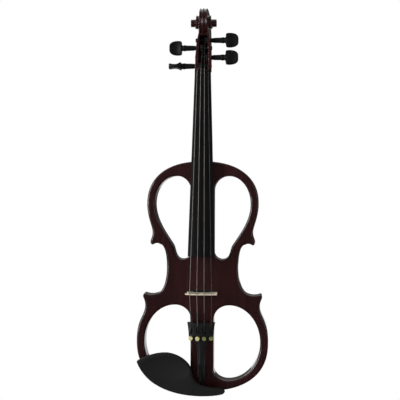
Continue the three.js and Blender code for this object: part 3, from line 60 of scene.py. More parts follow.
shot = {
    "azimuth": 4.5,
    "elevation": 0.5,
    "roll": 0.25,
    "distance": 1.25,
    "heightSeen": 0.6178,
    "aim": (-3.9, 0, 296),
    "sensor": 36,
}


def makeCamera():
    a, e, r = (math.radians(shot[k]) for k in ("azimuth", "elevation", "roll"))
    back = Vector((math.sin(a) * math.cos(e), -math.cos(a) * math.cos(e), math.sin(e)))
    right = (-back).cross(Vector((0, 0, 1))).normalized()
    up = right.cross(-back)
    across = right * math.cos(r) + up * math.sin(r)
    above = up * math.cos(r) - right * math.sin(r)
    camera = linked("camera", bpy.data.cameras.new("camera"))
    camera.data.sensor_width = shot["sensor"]
    camera.data.lens = shot["sensor"] * shot["distance"] / shot["heightSeen"]
    camera.data.clip_start = 0.05
    camera.data.clip_end = 60
    turn = Matrix((across, above, back)).transposed().to_4x4()
    camera.matrix_world = Matrix.Translation(at(*shot["aim"]) + back * shot["distance"]) @ turn
    bpy.context.scene.camera = camera


makeCamera()
print("camera placed")


# Materials. A Wire is one output socket; arithmetic on it adds Math nodes.

class Wire:
    def __init__(self, graph, socket):
        self.graph = graph
        self.socket = socket

    def maths(self, operation, *values):
        return self.graph.node("ShaderNodeMath", {"operation": operation}, dict(enumerate(values)))

    def __add__(self, other):
        return self.maths("ADD", self, other)

    __radd__ = __add__

    def __sub__(self, other):
        return self.maths("SUBTRACT", self, other)

    def __rsub__(self, other):
        return self.maths("SUBTRACT", other, self)

    def __mul__(self, other):
        return self.maths("MULTIPLY", self, other)

    __rmul__ = __mul__

    def above(self, other):
        return self.maths("GREATER_THAN", self, other)

    def clamped(self):
        return self.graph.node("ShaderNodeClamp", {}, {0: self})


class Graph:
    def __init__(self, tree):
        self.tree = tree
        tree.nodes.clear()

    def node(self, kind, settings, values, output=0):
        made = self.tree.nodes.new(kind)
        for key, setting in settings.items():
            if key == "stops":
                ramp = made.color_ramp
                while len(ramp.elements) < len(setting):
                    ramp.elements.new(0.5)
                for element, (place, colour) in zip(ramp.elements, setting):
                    element.position = place
                    element.color = (*colour, 1)
            else:
                setattr(made, key, setting)
        for key, value in values.items():
            self.feed(made.inputs[key], value)
        return None if output is None else Wire(self, made.outputs[output])

    def feed(self, socket, value):
        if isinstance(value, Wire):
            self.tree.links.new(value.socket, socket)
        elif isinstance(value, tuple) and len(value) == 3 and socket.type == "RGBA":
            socket.default_value = (*value, 1)
        else:
            socket.default_value = value

    def rays(self, *kinds):
        path = self.tree.nodes.new("ShaderNodeLightPath")
        return [Wire(self, path.outputs[f"Is {kind} Ray"]) for kind in kinds]

    def place(self, scale=(1, 1, 1), turn=(0, 0, 0)):
        spot = self.node("ShaderNodeTexCoord", {}, {}, "Object")
        return self.node("ShaderNodeMapping", {}, {"Vector": spot, "Rotation": turn, "Scale": scale})

    def axis(self, name, vector=None):
        vector = vector or self.node("ShaderNodeTexCoord", {}, {}, "Object")
        return self.node("ShaderNodeSeparateXYZ", {}, {0: vector}, name)

    def noise(self, vector, scale, detail=3, roughness=0.5, distortion=0):
        return self.node("ShaderNodeTexNoise", {}, {
            "Vector": vector, "Scale": scale, "Detail": detail,
            "Roughness": roughness, "Distortion": distortion})

    def ramp(self, factor, stops):
        return self.node("ShaderNodeValToRGB", {"stops": stops}, {0: factor})

    def mix(self, factor, first, second, blend="MIX"):
        return self.node("ShaderNodeMix", {"data_type": "RGBA", "blend_type": blend},
                         {0: factor, 6: first, 7: second}, 2)

    def spread(self, factor, low, high, start=0, end=1):
        return self.node("ShaderNodeMapRange", {}, {
            "Value": factor, "From Min": start, "From Max": end, "To Min": low, "To Max": high})

    def bump(self, height, distance, strength=1.0):
        return self.node("ShaderNodeBump", {},
                         {"Height": height, "Distance": distance, "Strength": strength})


class Finish(Graph):
    def __init__(self, name):
        self.material = bpy.data.materials.new(name)
        self.material.use_nodes = True
        super().__init__(self.material.node_tree)
        self.shader = self.tree.nodes.new("ShaderNodeBsdfPrincipled")
        self.output = self.tree.nodes.new("ShaderNodeOutputMaterial")
        self.feed(self.output.inputs[0], Wire(self, self.shader.outputs[0]))

    def set(self, **values):
        for key, value in values.items():
            self.feed(self.shader.inputs[sockets[key]], value)


sockets = {
    "colour": "Base Color", "roughness": "Roughness", "metallic": "Metallic", "normal": "Normal",
    "specular": "Specular IOR Level", "coat": "Coat Weight", "coatRoughness": "Coat Roughness",
    "sheen": "Sheen Weight",
}


def srgb(*levels):
    shares = [level / 255 for level in levels]
    return tuple(s / 12.92 if s <= 0.04045 else ((s + 0.055) / 1.055) ** 2.4 for s in shares)


lacquer = {
    "dark": (31, 9, 10), "mid": (46, 14, 15), "red": (60, 20, 20), "grain": (260, 260, 9),
    "pores": (1400, 1400, 40), "roughness": (0.3, 0.42), "coat": 0.7, "coatRoughness": 0.07,
    "specular": 0.3, "ripple": 0.00002,
}


def makeLacquer():
    finish, look = Finish("lacquer"), lacquer
    broad = finish.noise(finish.place((14, 14, 3.5)), 1, 3, 0.55, 0.6)
    grain = finish.noise(finish.place(look["grain"]), 1, 5, 0.6, 0.4)
    pores = finish.noise(finish.place(look["pores"]), 1, 2, 0.5)
    depth = (0.55 * broad + 0.45 * grain).clamped()
    colour = finish.ramp(depth, [
        (share, srgb(*look[name])) for share, name in ((0.32, "dark"), (0.5, "mid"), (0.7, "red"))])
    dots = finish.ramp(pores, [(0.3, (0.55, 0.55, 0.55)), (0.42, (1, 1, 1))])
    swell = finish.noise(finish.place((90, 90, 60)), 1, 2, 0.4)
    finish.set(
        colour=finish.mix(0.8, colour, dots, "MULTIPLY"),
        roughness=finish.spread(grain, *look["roughness"]),
        coat=look["coat"], coatRoughness=look["coatRoughness"], specular=look["specular"],
        normal=finish.bump(swell, look["ripple"], 0.6))
    return finish.material


blackWoods = {
    "ebony": {
        "dark": (12, 12, 12), "light": (20, 19, 19), "streak": (500, 500, 12), "roughness": (0.5, 0.62),
        "gloss": 0.1},
    "pegWood": {
        "dark": (12, 12, 12), "light": (22, 21, 21), "streak": (20, 420, 420), "roughness": (0.42, 0.56),
        "gloss": 0.2},
}


def makeBlackWood(name):
    look = blackWoods[name]
    finish = Finish(name)
    streaks = finish.noise(finish.place(look["streak"]), 1, 5, 0.6, 0.3)
    pores = finish.noise(finish.place(tuple(4 * s for s in look["streak"])), 1, 2, 0.5)
    colour = finish.ramp(streaks, [(0.35, srgb(*look["dark"])), (0.68, srgb(*look["light"]))])
    finish.set(
        colour=colour, roughness=finish.spread(pores, *look["roughness"]), specular=look["gloss"],
        normal=finish.bump(0.6 * streaks + 0.4 * pores, 0.00003, 0.5))
    return finish.material


# Each row: dark and light colour, roughness, depth and fineness of the texture, gloss
plastics = {
    "blackPlastic": ((25, 25, 26), (34, 34, 35), (0.36, 0.46), 0.00003, 1600, 0.5),
    "tailPlastic": ((17, 17, 18), (23, 23, 24), (0.34, 0.42), 0.00002, 1600, 0.9),
    "chinPlastic": ((28, 29, 28), (35, 36, 35), (0.56, 0.66), 0.00004, 1100, 0.08),
    "piezoPlastic": ((15, 15, 16), (22, 22, 23), (0.4, 0.5), 0.00002, 1500, 0.5),
    "tailCord": ((14, 14, 15), (24, 24, 26), (0.3, 0.4), 0.00002, 900, 0.5),
    "whitePaint": ((205, 205, 200), (232, 232, 228), (0.5, 0.6), 0.00001, 900, 0.5),
}


def makePlastic(name):
    dark, light, roughness, texture, fineness, gloss = plastics[name]
    finish = Finish(name)
    cloud = finish.noise(finish.place((40, 40, 40)), 1, 3)
    grit = finish.noise(finish.place(), fineness, 2, 0.6)
    finish.set(
        colour=finish.mix((0.7 * cloud + 0.3 * grit).clamped(), srgb(*dark), srgb(*light)),
        roughness=finish.spread(cloud, *roughness), specular=gloss, normal=finish.bump(grit, texture, 0.7))
    return finish.material


maple = {"pale": (236, 226, 204), "warm": (216, 200, 172), "fleck": (180, 158, 128)}


def makeMaple():
    finish = Finish("maple")
    rays = finish.noise(finish.place((900, 220, 220)), 1, 3, 0.6)
    flecks = finish.noise(finish.place((1500, 300, 2600)), 1, 2, 0.5)
    colour = finish.mix(rays, srgb(*maple["warm"]), srgb(*maple["pale"]))
    marks = finish.ramp(flecks, [(0.6, (0, 0, 0)), (0.72, (0.6, 0.6, 0.6))])
    colour = finish.mix(marks, colour, srgb(*maple["fleck"]))
    finish.set(colour=colour, roughness=finish.spread(flecks, 0.5, 0.62),
               normal=finish.bump(rays, 0.00003, 0.6))
    return finish.material


# Each row: two colours that drift into each other, how metallic, roughness, scale of the brushing
metals = {
    "brass": ((255, 250, 200), (240, 230, 146), 0.4, (0.3, 0.44), (300, 300, 300)),
    "darkerBrass": ((166, 170, 112), (132, 136, 78), 0.5, (0.34, 0.48), (300, 300, 300)),
    # The dark metal of the string balls, pads and levers inside the tailpiece is painted shade of its slots
    "shadeDarkMetal": ((34, 33, 32), (22, 22, 22), 0.6, (0.4, 0.52), (300, 300, 300)),
    "steel": ((196, 198, 202), (168, 170, 174), 1.0, (0.18, 0.32), (60, 900, 900)),
    "jackSteel": ((186, 188, 192), (150, 152, 156), 1.0, (0.22, 0.36), (400, 400, 60)),
}


def makeMetal(name):
    first, second, metal, roughness, scale = metals[name]
    finish = Finish(name)
    brushed = finish.noise(finish.place(scale), 1, 3, 0.6)
    smudges = finish.noise(finish.place((70, 70, 70)), 1, 2)
    finish.set(
        colour=finish.mix(smudges, srgb(*first), srgb(*second)), metallic=metal,
        roughness=finish.spread(brushed, *roughness), normal=finish.bump(brushed, 0.00001, 0.5))
    return finish.material


# The groove colour is painted shade between the windings of the wire
wire = {"light": (176, 172, 170), "groove": (116, 113, 110), "pitch": 0.00042}


# Wound steel: fine rings along the string, which runs almost straight up; its darker grooves are painted
# shade
def makeWire(name, bright):
    finish = Finish(name)
    phase = finish.axis("Z") * (2 * math.pi / wire["pitch"])
    share = (0.5 + 0.5 * phase.maths("SINE", phase)).clamped()
    tarnish = finish.noise(finish.place((30, 30, 30)), 1, 2)
    light = tuple(bright * c for c in srgb(*wire["light"]))
    finish.set(
        colour=finish.mix(share, srgb(*wire["groove"]), light), metallic=0.35,
        roughness=finish.spread(tarnish, 0.34, 0.46), normal=finish.bump(share, 0.00004, 0.6))
    return finish.material


# Each row: the light and the dark colour of a silk's threads; the dark between the threads is painted shade
silks = {
    "g": ((62, 60, 28), (34, 33, 16)),
    "d": ((74, 116, 132), (30, 60, 76)),
    "a": ((48, 48, 52), (20, 20, 22)),
    "e": ((92, 22, 34), (46, 10, 16)),
    # The peg silk, at the peg end and inside the tailpiece, is dark as painted shade of the pegbox and the
    # tailpiece's slots
    "peg": ((40, 34, 32), (20, 17, 16)),
}


def makeSilk(name):
    finish = Finish(f"silk_{name}")
    light, dark = silks[name]
    threads = finish.node("ShaderNodeTexWave", {"bands_direction": "Z"}, {
        "Vector": finish.place((1, 1, 1), (0.5, 0.3, 0)), "Scale": 900, "Distortion": 0.6, "Detail": 1})
    finish.set(
        colour=finish.mix(threads, srgb(*dark), srgb(*light)), roughness=0.6, sheen=0.3,
        normal=finish.bump(threads, 0.00006, 0.8))
    return finish.material


cork = {"grain": (176, 134, 92), "dark": (92, 62, 38), "pale": (206, 170, 126)}


def makeCork():
    finish = Finish("cork")
    grains = finish.node("ShaderNodeTexVoronoi", {}, {"Vector": finish.place(), "Scale": 900}, "Color")
    tone = finish.node("ShaderNodeSeparateColor", {}, {0: grains})
    edges = finish.node("ShaderNodeTexVoronoi", {"feature": "DISTANCE_TO_EDGE"},
                        {"Vector": finish.place(), "Scale": 900})
    gaps = finish.ramp(edges, [(0.0, (1, 1, 1)), (0.08, (0, 0, 0))])
    colour = finish.mix(tone, srgb(*cork["grain"]), srgb(*cork["pale"]))
    finish.set(
        colour=finish.mix(gaps, colour, srgb(*cork["dark"])), roughness=0.85,
        normal=finish.bump(edges.maths("MINIMUM", edges, 0.15), 0.0006, 0.8))
    return finish.material


boardLook = {"mask": (22, 84, 46), "track": (34, 112, 62), "copper": (150, 112, 60)}


def makeBoardGreen():
    finish = Finish("boardGreen")
    mask, track, copper = (srgb(*boardLook[name]) for name in ("mask", "track", "copper"))
    tracks = finish.node("ShaderNodeTexBrick", {}, {
        "Vector": finish.place((1, 1, 1), (math.pi / 2, 0, 0)), "Scale": 220, "Mortar Size": 0.03,
        "Color1": mask, "Color2": mask, "Mortar": track})
    dust = finish.noise(finish.place((200, 200, 200)), 1, 2)
    finish.set(colour=finish.mix(0.12 * dust, tracks, copper), roughness=finish.spread(dust, 0.3, 0.45))
    return finish.material


batteryLook = {"can": (44, 58, 86), "band": (178, 150, 84), "bandStart": 177, "bandEnd": 186}


def makeBatteryCan():
    finish, look = Finish("batteryCan"), batteryLook
    height = finish.axis("Z")
    band = height.above(at(0, 0, look["bandStart"]).z) - height.above(at(0, 0, look["bandEnd"]).z)
    scuffs = finish.noise(finish.place((160, 160, 160)), 1, 3)
    finish.set(
        colour=finish.mix(band, srgb(*look["can"]), srgb(*look["band"])), metallic=0.35,
        roughness=finish.spread(scuffs, 0.28, 0.42), normal=finish.bump(scuffs, 0.00002, 0.4))
    return finish.material


looks = {
    "lacquer": makeLacquer(), "maple": makeMaple(), "cork": makeCork(), "boardGreen": makeBoardGreen(),
    "batteryCan": makeBatteryCan(), "wire": makeWire("wire", 1.0), "plainWire": makeWire("plainWire", 0.55),
}
looks.update({name: makeBlackWood(name) for name in blackWoods})
looks.update({name: makePlastic(name) for name in plastics})
looks.update({name: makeMetal(name) for name in metals})
looks.update({f"silk_{name}": makeSilk(name) for name in silks})
print("materials made:", len(looks))


# Mesh helpers

def newPiece(name, points, faces, look=None):
    mesh = bpy.data.meshes.new(name)
    mesh.from_pydata([at(*p) for p in points], [], [tuple(f) for f in faces])
    mesh.update()
    piece = linked(name, mesh)
    if look:
        mesh.materials.append(looks[look])
    return piece


def bake(piece):
    graph = bpy.context.evaluated_depsgraph_get()
    mesh = bpy.data.meshes.new_from_object(piece.evaluated_get(graph), depsgraph=graph)
    piece.modifiers.clear()
    old = piece.data
    piece.data = mesh
    if isinstance(old, bpy.types.Mesh):
        bpy.data.meshes.remove(old)
    return piece


def tidyMesh(piece, distance=0.00001):
    mesh = bmesh.new()
    mesh.from_mesh(piece.data)
    bmesh.ops.remove_doubles(mesh, verts=mesh.verts, dist=distance)
    bmesh.ops.recalc_face_normals(mesh, faces=mesh.faces)
    mesh.to_mesh(piece.data)
    mesh.free()
    return piece


def addModifier(piece, kind, **settings):
    modifier = piece.modifiers.new(kind.lower(), kind)
    for key, value in settings.items():
        setattr(modifier, key, value)
    return modifier


def carve(piece, tools, operation="DIFFERENCE"):
    for tool in tools:
        addModifier(piece, "BOOLEAN", operation=operation, solver="EXACT", object=tool)
    bake(piece)
    for tool in tools:
        bpy.data.objects.remove(tool)
    return piece


# One closed skin over joined solids, with its edges softened as moulding or sanding leaves them
def mould(piece, voxel, rounds):
    addModifier(piece, "REMESH", mode="VOXEL", voxel_size=voxel / 1000, use_smooth_shade=True)
    if rounds:
        addModifier(piece, "SMOOTH", factor=0.5, iterations=rounds)
    return bake(piece)


def smooth(piece, angle=32, weighted=True):
    piece.data.shade_smooth()
    piece.data.set_sharp_from_angle(angle=math.radians(angle))
    if weighted:
        addModifier(piece, "WEIGHTED_NORMAL", keep_sharp=True, weight=80)
        bake(piece)
    return piece


def chamfer(piece, width, segments=2, angle=35):
    addModifier(piece, "BEVEL", width=width / 1000, segments=segments, limit_method="ANGLE",
                angle_limit=math.radians(angle), harden_normals=False)
    bake(piece)
    return piece


def merge(name, pieces):
    first = pieces[0]
    if len(pieces) > 1:
        with bpy.context.temp_override(active_object=first, selected_editable_objects=pieces):
            bpy.ops.object.join()
    first.name = name
    first.data.name = name
    return first


# A finished piece: smoothed at an angle, in one look or its own, in place of CAD nodes and riding its body
def settle(piece, body, replaced=(), look=None, angle=None, weighted=True):
    if angle:
        smooth(piece, angle, weighted)
    if look:
        piece.data.materials.clear()
        piece.data.materials.append(looks[look])
    if replaced:
        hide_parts(*replaced)
    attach(piece, body)
    return piece


def block(name, x0, x1, y0, y1, z0, z1, look=None):
    points = [(x, y, z) for x in (x0, x1) for y in (y0, y1) for z in (z0, z1)]
    faces = [(0, 1, 3, 2), (4, 6, 7, 5), (0, 4, 5, 1), (2, 3, 7, 6), (0, 2, 6, 4), (1, 5, 7, 3)]
    return newPiece(name, points, faces, look)


# A profile of (distance along, radius) turned round an axis through origin
def turned(name, profile, axis, origin, sides=48, look=None):
    rings = []
    for along, radius in profile:
        ring = []
        for k in range(sides):
            a = 2 * math.pi * k / sides
            p = [radius * math.cos(a), radius * math.sin(a)]
            p.insert("xyz".index(axis), along)
            if axis == "y":
                p[0], p[2] = p[2], p[0]
            ring.append([p[i] + origin[i] for i in range(3)])
        rings.append(ring)
    return loft(name, rings, look)


def rod(name, axis, radius, start, end, across, sides=40, look=None):
    origin = list(across)
    origin.insert("xyz".index(axis), 0)
    return turned(name, [(start, radius), (end, radius)], axis, origin, sides, look)


def loft(name, rings, look=None):
    count = len(rings[0])
    points = [p for ring in rings for p in ring]
    faces = []
    for r in range(len(rings) - 1):
        for i in range(count):
            j = (i + 1) % count
            faces.append((r * count + i, r * count + j, (r + 1) * count + j, (r + 1) * count + i))
    faces.append(tuple(reversed(range(count))))
    faces.append(tuple(range((len(rings) - 1) * count, len(rings) * count)))
    return tidyMesh(newPiece(name, points, faces, look), 0.000001)


def bend(a, b, shares, steps):
    a, b = np.array(a, float), np.array(b, float)
    first = a + (b - a) * shares[:2]
    second = a + (b - a) * shares[2:]
    t = np.linspace(0, 1, steps + 1)[1:, None]
    curve = (1 - t) ** 3 * a + 3 * (1 - t) ** 2 * t * first + 3 * (1 - t) * t ** 2 * second + t ** 3 * b
    return [tuple(p) for p in curve]


# A level stretch between two corners that dips between them
def dipped(a, b, dip, steps):
    shares = [(i + 1) / steps for i in range(steps)]
    return [(a[0] + s * (b[0] - a[0]), a[1] + s * (b[1] - a[1]) + 4 * s * (1 - s) * dip) for s in shares]


# A quarter of a rounded-square curve, from straight below its centre to straight beside it
def boutQuarter(halfWidth, endZ, wideZ, power, steps):
    turns = [math.pi / 2 * i / steps for i in range(steps + 1)]
    return [(halfWidth * math.sin(t) ** (2 / power),
             wideZ + (endZ - wideZ) * max(math.cos(t), 0) ** (2 / power))
            for t in turns]


def mirrored(outline):
    return [(-x, z) for x, z in outline]


# Points at even steps along a closed outline, keeping its sharp corners
def evened(outline, step, corner=35):
    loop = [np.array(p, float) for i, p in enumerate(outline) if math.dist(p, outline[i - 1]) > 0.02]
    count = len(loop)
    sharp = []
    for i in range(count):
        before, after = loop[i] - loop[i - 1], loop[(i + 1) % count] - loop[i]
        angle = abs(math.degrees(math.atan2(before[0] * after[1] - before[1] * after[0], before @ after)))
        if angle > corner:
            sharp.append(i)
    sharp = sharp or [0]
    made = []
    for start, end in zip(sharp, sharp[1:] + [sharp[0] + count]):
        run = np.array([loop[i % count] for i in range(start, end + 1)])
        lengths = np.concatenate([[0], np.cumsum(np.linalg.norm(np.diff(run, axis=0), axis=1))])
        pieces = max(round(lengths[-1] / step), 1)
        for s in np.linspace(0, lengths[-1], pieces + 1)[:-1]:
            made.append((float(np.interp(s, lengths, run[:, 0])), float(np.interp(s, lengths, run[:, 1]))))
    return made


# How far each point of a closed loop moves inward to round an edge, less where the loop turns too sharply
def insets(loop, depth):
    loop = np.array(loop)
    before = loop - np.roll(loop, 1, axis=0)
    after = np.roll(loop, -1, axis=0) - loop
    before /= np.linalg.norm(before, axis=1)[:, None]
    after /= np.linalg.norm(after, axis=1)[:, None]
    inward = np.stack([-(before[:, 1] + after[:, 1]), before[:, 0] + after[:, 0]], axis=1)
    inward /= np.linalg.norm(inward, axis=1)[:, None]
    stretch = np.sqrt(np.clip((1 + (before * after).sum(axis=1)) / 2, 0, 1))
    moves = inward * (depth / np.maximum(stretch, 0.7))[:, None]
    edges = np.roll(loop, -1, axis=0) - loop
    for _ in range(200):
        moved = edges + np.roll(moves, -1, axis=0) - moves
        tight = (moved * edges).sum(axis=1) < 0.15 * (edges ** 2).sum(axis=1)
        if not tight.any():
            break
        shrink = np.where(tight | np.roll(tight, 1), 0.92, 1.0)
        moves *= shrink[:, None]
    return moves


def area(loop):
    xs, zs = np.array(loop).T
    return 0.5 * float((xs * np.roll(zs, -1) - np.roll(xs, -1) * zs).sum())


# A closed outline in x and z, made solid from front to back with rounded edges
def slab(name, outline, front, thickness, edge, rounds, holes=()):
    loops = []
    for i, points in enumerate([outline, *holes]):
        anticlockwise = area(points) > 0
        loops.append(list(points) if anticlockwise == (i == 0) else list(points)[::-1])
    moves = [insets(loop, edge) for loop in loops]
    levels = []
    for k in range(rounds + 1):
        angle = math.pi / 2 * k / rounds
        levels.append((1 - math.sin(angle), front + edge * (1 - math.cos(angle))))
    levels += [(share, 2 * front + thickness - y) for share, y in reversed(levels)]
    points, faces = [], []
    for share, y in levels:
        for loop, move in zip(loops, moves):
            points += [(x + share * dx, y, z + share * dz) for (x, z), (dx, dz) in zip(loop, move)]
    count = sum(len(loop) for loop in loops)
    first = 0
    for loop in loops:
        for r in range(len(levels) - 1):
            for i in range(len(loop)):
                a = r * count + first + i
                b = r * count + first + (i + 1) % len(loop)
                faces.append((a, b, b + count, a + count))
        first += len(loop)
    flat = []
    start = 0
    for loop in loops:
        flat.append([Vector((points[start + i][0], points[start + i][2], 0)) for i in range(len(loop))])
        start += len(loop)
    last = (len(levels) - 1) * count
    for a, b, c in tessellate_polygon(flat):
        faces.append((a, b, c))
        faces.append((last + a, last + c, last + b))
    return tidyMesh(newPiece(name, points, faces), 0.000001)


# A tube through points that rides along them without twisting
def tube(name, points, radius, sides=10, look=None):
    points = [Vector(p) for p in points]
    rings, across = [], None
    for i, point in enumerate(points):
        before, after = points[max(i - 1, 0)], points[min(i + 1, len(points) - 1)]
        ahead = ((point - before).normalized() + (after - point).normalized()).normalized()
        if across is None:
            across = Vector((1, 0, 0)) if abs(ahead.x) < 0.9 else Vector((0, 1, 0))
        across = (across - ahead * across.dot(ahead)).normalized()
        up = ahead.cross(across)
        turns = [2 * math.pi * k / sides for k in range(sides)]
        rings.append([tuple(point + (across * math.cos(a) + up * math.sin(a)) * radius) for a in turns])
    return loft(name, rings, look)


# A smooth line through points, as a drawn spline would run
def splined(points, steps, closed=False):
    points = [np.array(p, float) for p in points]
    count = len(points)
    made = []
    spans = count if closed else count - 1
    for i in range(spans):
        if closed:
            p0, p1, p2, p3 = (points[(i + k) % count] for k in (-1, 0, 1, 2))
        else:
            p0, p1, p2, p3 = (points[min(max(i + k, 0), count - 1)] for k in (-1, 0, 1, 2))
        for k in range(steps):
            t = k / steps
            made.append(tuple(0.5 * (2 * p1 + (p2 - p0) * t + (2 * p0 - 5 * p1 + 4 * p2 - p3) * t ** 2
                                     + (3 * p1 - p0 - 3 * p2 + p3) * t ** 3)))
    if not closed:
        made.append(tuple(points[-1]))
    return made


# Geometry Nodes for what repeats

# Copies of one shape at points, made into one mesh with its look. The points and the shape are each a kind
# of node and its sockets, fed by the group's inputs of those names; the shape also gives its output.
def scatterTree(name, inputs, points, shape):
    tree = bpy.data.node_groups.new(name, "GeometryNodeTree")
    tree.interface.new_socket(name="Geometry", in_out="OUTPUT", socket_type="NodeSocketGeometry")
    for label, kind in inputs:
        tree.interface.new_socket(name=label, in_out="INPUT", socket_type=f"NodeSocket{kind}")
    start, end = tree.nodes.new("NodeGroupInput"), tree.nodes.new("NodeGroupOutput")

    def add(kind, **links):
        node = tree.nodes.new(f"GeometryNode{kind}")
        for socket, source in links.items():
            tree.links.new(start.outputs[source] if isinstance(source, str) else source,
                           node.inputs[socket])
        return node

    line, part = add(points[0], **points[1]), add(shape[0], **shape[1])
    spread = add("InstanceOnPoints", Points=line.outputs["Mesh"], Instance=part.outputs[shape[2]])
    real = add("RealizeInstances", Geometry=spread.outputs["Instances"])
    paint = add("SetMaterial", Geometry=real.outputs[0], Material="Look")
    tree.links.new(paint.outputs[0], end.inputs[0])
    ids = {item.name: item.identifier for item in tree.interface.items_tree if item.in_out == "INPUT"}
    return tree, ids


# Ribs standing in a ring round z, and copies of a made part in a row
trees = {
    "ribRing": scatterTree(
        "ribRing", [("Count", "Int"), ("Radius", "Float"), ("Rib Radius", "Float"), ("Length", "Float"),
                    ("Sides", "Int"), ("Look", "Material")],
        ("MeshCircle", {"Vertices": "Count", "Radius": "Radius"}),
        ("MeshCylinder", {"Vertices": "Sides", "Radius": "Rib Radius", "Depth": "Length"}, "Mesh")),
    "row": scatterTree(
        "row", [("Count", "Int"), ("Start", "Vector"), ("Step", "Vector"), ("Part", "Object"),
                ("Look", "Material")],
        ("MeshLine", {"Count": "Count", "Start Location": "Start", "Offset": "Step"}),
        ("ObjectInfo", {"Object": "Part"}, "Geometry")),
}


def grown(name, treeName, values):
    tree, ids = trees[treeName]
    piece = linked(name, bpy.data.meshes.new(name))
    modifier = piece.modifiers.new("shape", "NODES")
    modifier.node_group = tree
    for label, value in values.items():
        modifier[ids[label]] = value
    return bake(piece)


# A ring of ribs set round an axis, its middle at centre
def ribRing(name, axis, centre, count, radius, rib, length, look, sides=8):
    piece = grown(name, "ribRing", {
        "Count": count, "Radius": radius / 1000, "Rib Radius": rib / 1000, "Length": length / 1000,
        "Sides": sides, "Look": looks[look]})
    turn = Matrix.Rotation(math.pi / 2, 4, {"x": "Y", "y": "X"}[axis])
    piece.data.transform(Matrix.Translation(at(*centre)) @ turn)
    return piece


# Copies of a part, made round the origin, in a row from each start; the part itself is used up
def partRows(name, part, count, starts, step, look):
    part.data.transform(Matrix.Translation(-at(0, 0, 0)))
    rows = [grown(f"{name}{i}", "row", {
        "Count": count, "Start": at(*start), "Step": Vector(step) / 1000, "Part": part,
        "Look": looks[look]})
        for i, start in enumerate(starts)]
    bpy.data.objects.remove(part)
    return merge(name, rows)


print("tools ready")


# Body

body = {
    "length": 356, "thickness": 26, "edge": 3.6, "rounds": 9, "step": 1.6, "lowerBout": (102.2, 78),
    "lowerPower": 2.42, "lowerHollow": (89.1, 132), "lowerCorner": (92.4, 144.5), "lowerEnd": (90.2, 150.6),
    "lowerRoot": (70, 150.6), "waist": (55.3, 191), "upperRoot": (66, 227.2), "upperEnd": (77.6, 226),
    "upperCorner": (81.3, 231.5), "upperHollow": (77.9, 245), "upperBout": (86.5, 290), "upperPower": 2.3,
    "cornerDip": 2, "lowerFlank": (0, 0.61, 1, 0.7), "lowerFlare": (0, 0.4, 0.45, 0.72),
    "lowerTip": (-0.29, 0.41, 0, 0.885), "lowerWaist": (0.544, 0.072, 1, 0.431),
    "upperWaist": (0, 0.414, 0.206, 0.967), "upperTip": (0.53, 0, 1.03, 0.45),
    "upperFlare": (0.09, 0.26, 1, 0.59), "upperFlank": (0, 0.22, 1, 0.51),
    "screwHole": 1.5,
}
opening = {
    "inner": 18.1, "arm": 12.4, "fromUpright": (0, 0.552, 0.448, 1), "fromLevel": (0.552, 0, 1, 0.448),
    "upperHigh": 310, "upperTop": (40.5, 333.2), "upperKnee": (45.8, 225.5), "upperBottom": (31, 204),
    "upperLow": 216, "flank": (0, 0.416, 0.676, 0.768), "knee": (0.223, 0.256, 0.189, 1), "lowerHigh": 112,
    "lowerTop": (42, 133.2), "lowerWide": 76, "lowerBottom": (40, 16.9), "lowerLow": 35,
}


def bodyOutline():
    b = body
    half = [
        *boutQuarter(b["lowerBout"][0], 0, b["lowerBout"][1], b["lowerPower"], 60),
        *bend(b["lowerBout"], b["lowerHollow"], b["lowerFlank"], 30),
        *bend(b["lowerHollow"], b["lowerCorner"], b["lowerFlare"], 12),
        *bend(b["lowerCorner"], b["lowerEnd"], b["lowerTip"], 8),
        *dipped(b["lowerEnd"], b["lowerRoot"], -b["cornerDip"], 16),
        *bend(b["lowerRoot"], b["waist"], b["lowerWaist"], 30),
        *bend(b["waist"], b["upperRoot"], b["upperWaist"], 30),
        *dipped(b["upperRoot"], b["upperEnd"], b["cornerDip"], 12),
        *bend(b["upperEnd"], b["upperCorner"], b["upperTip"], 8),
        *bend(b["upperCorner"], b["upperHollow"], b["upperFlare"], 12),
        *bend(b["upperHollow"], b["upperBout"], b["upperFlank"], 24),
        *boutQuarter(b["upperBout"][0], b["length"], b["upperBout"][1], b["upperPower"], 60)[::-1][1:],
    ]
    return half[:-1] + mirrored(half[1:])[::-1]


def bodyOpenings():
    o = opening
    high, low = (o["inner"], o["upperHigh"]), (o["inner"], o["upperLow"])
    wide = (body["upperBout"][0] - o["arm"], body["upperBout"][1])
    upper = [
        high,
        *bend(high, o["upperTop"], o["fromUpright"], 24),
        *bend(o["upperTop"], wide, o["fromLevel"], 30),
        *bend(wide, o["upperKnee"], o["flank"], 30),
        *bend(o["upperKnee"], o["upperBottom"], o["knee"], 20),
        *bend(o["upperBottom"], low, o["fromLevel"], 20),
    ]
    high, low = (o["inner"], o["lowerHigh"]), (o["inner"], o["lowerLow"])
    wide = (body["lowerBout"][0] - o["arm"], o["lowerWide"])
    lower = [
        high,
        *bend(high, o["lowerTop"], o["fromUpright"], 24),
        *bend(o["lowerTop"], wide, o["fromLevel"], 36),
        *bend(wide, o["lowerBottom"], o["fromUpright"], 36),
        *bend(o["lowerBottom"], low, o["fromLevel"], 20),
    ]
    return [upper, lower, mirrored(upper), mirrored(lower)]


cuts = {
    "mortise": (-13, 13, -1, 27, 348.7, 358), "saddleSeat": (-15.3, 15.3, -1, 4.3, -1, 6.1),
    "controlPocket": (-43, 5, 7, 27, 152, 190), "plateRecess": (-49.3, 11.3, 23.8, 27, 145.7, 196.3),
    "batteryPocket": (21.65, 48.75, 5.8, 27, 146.7, 195.8),
    "doorRecess": (20.3, 50.1, 23.9, 27, 143.45, 199.05),
}
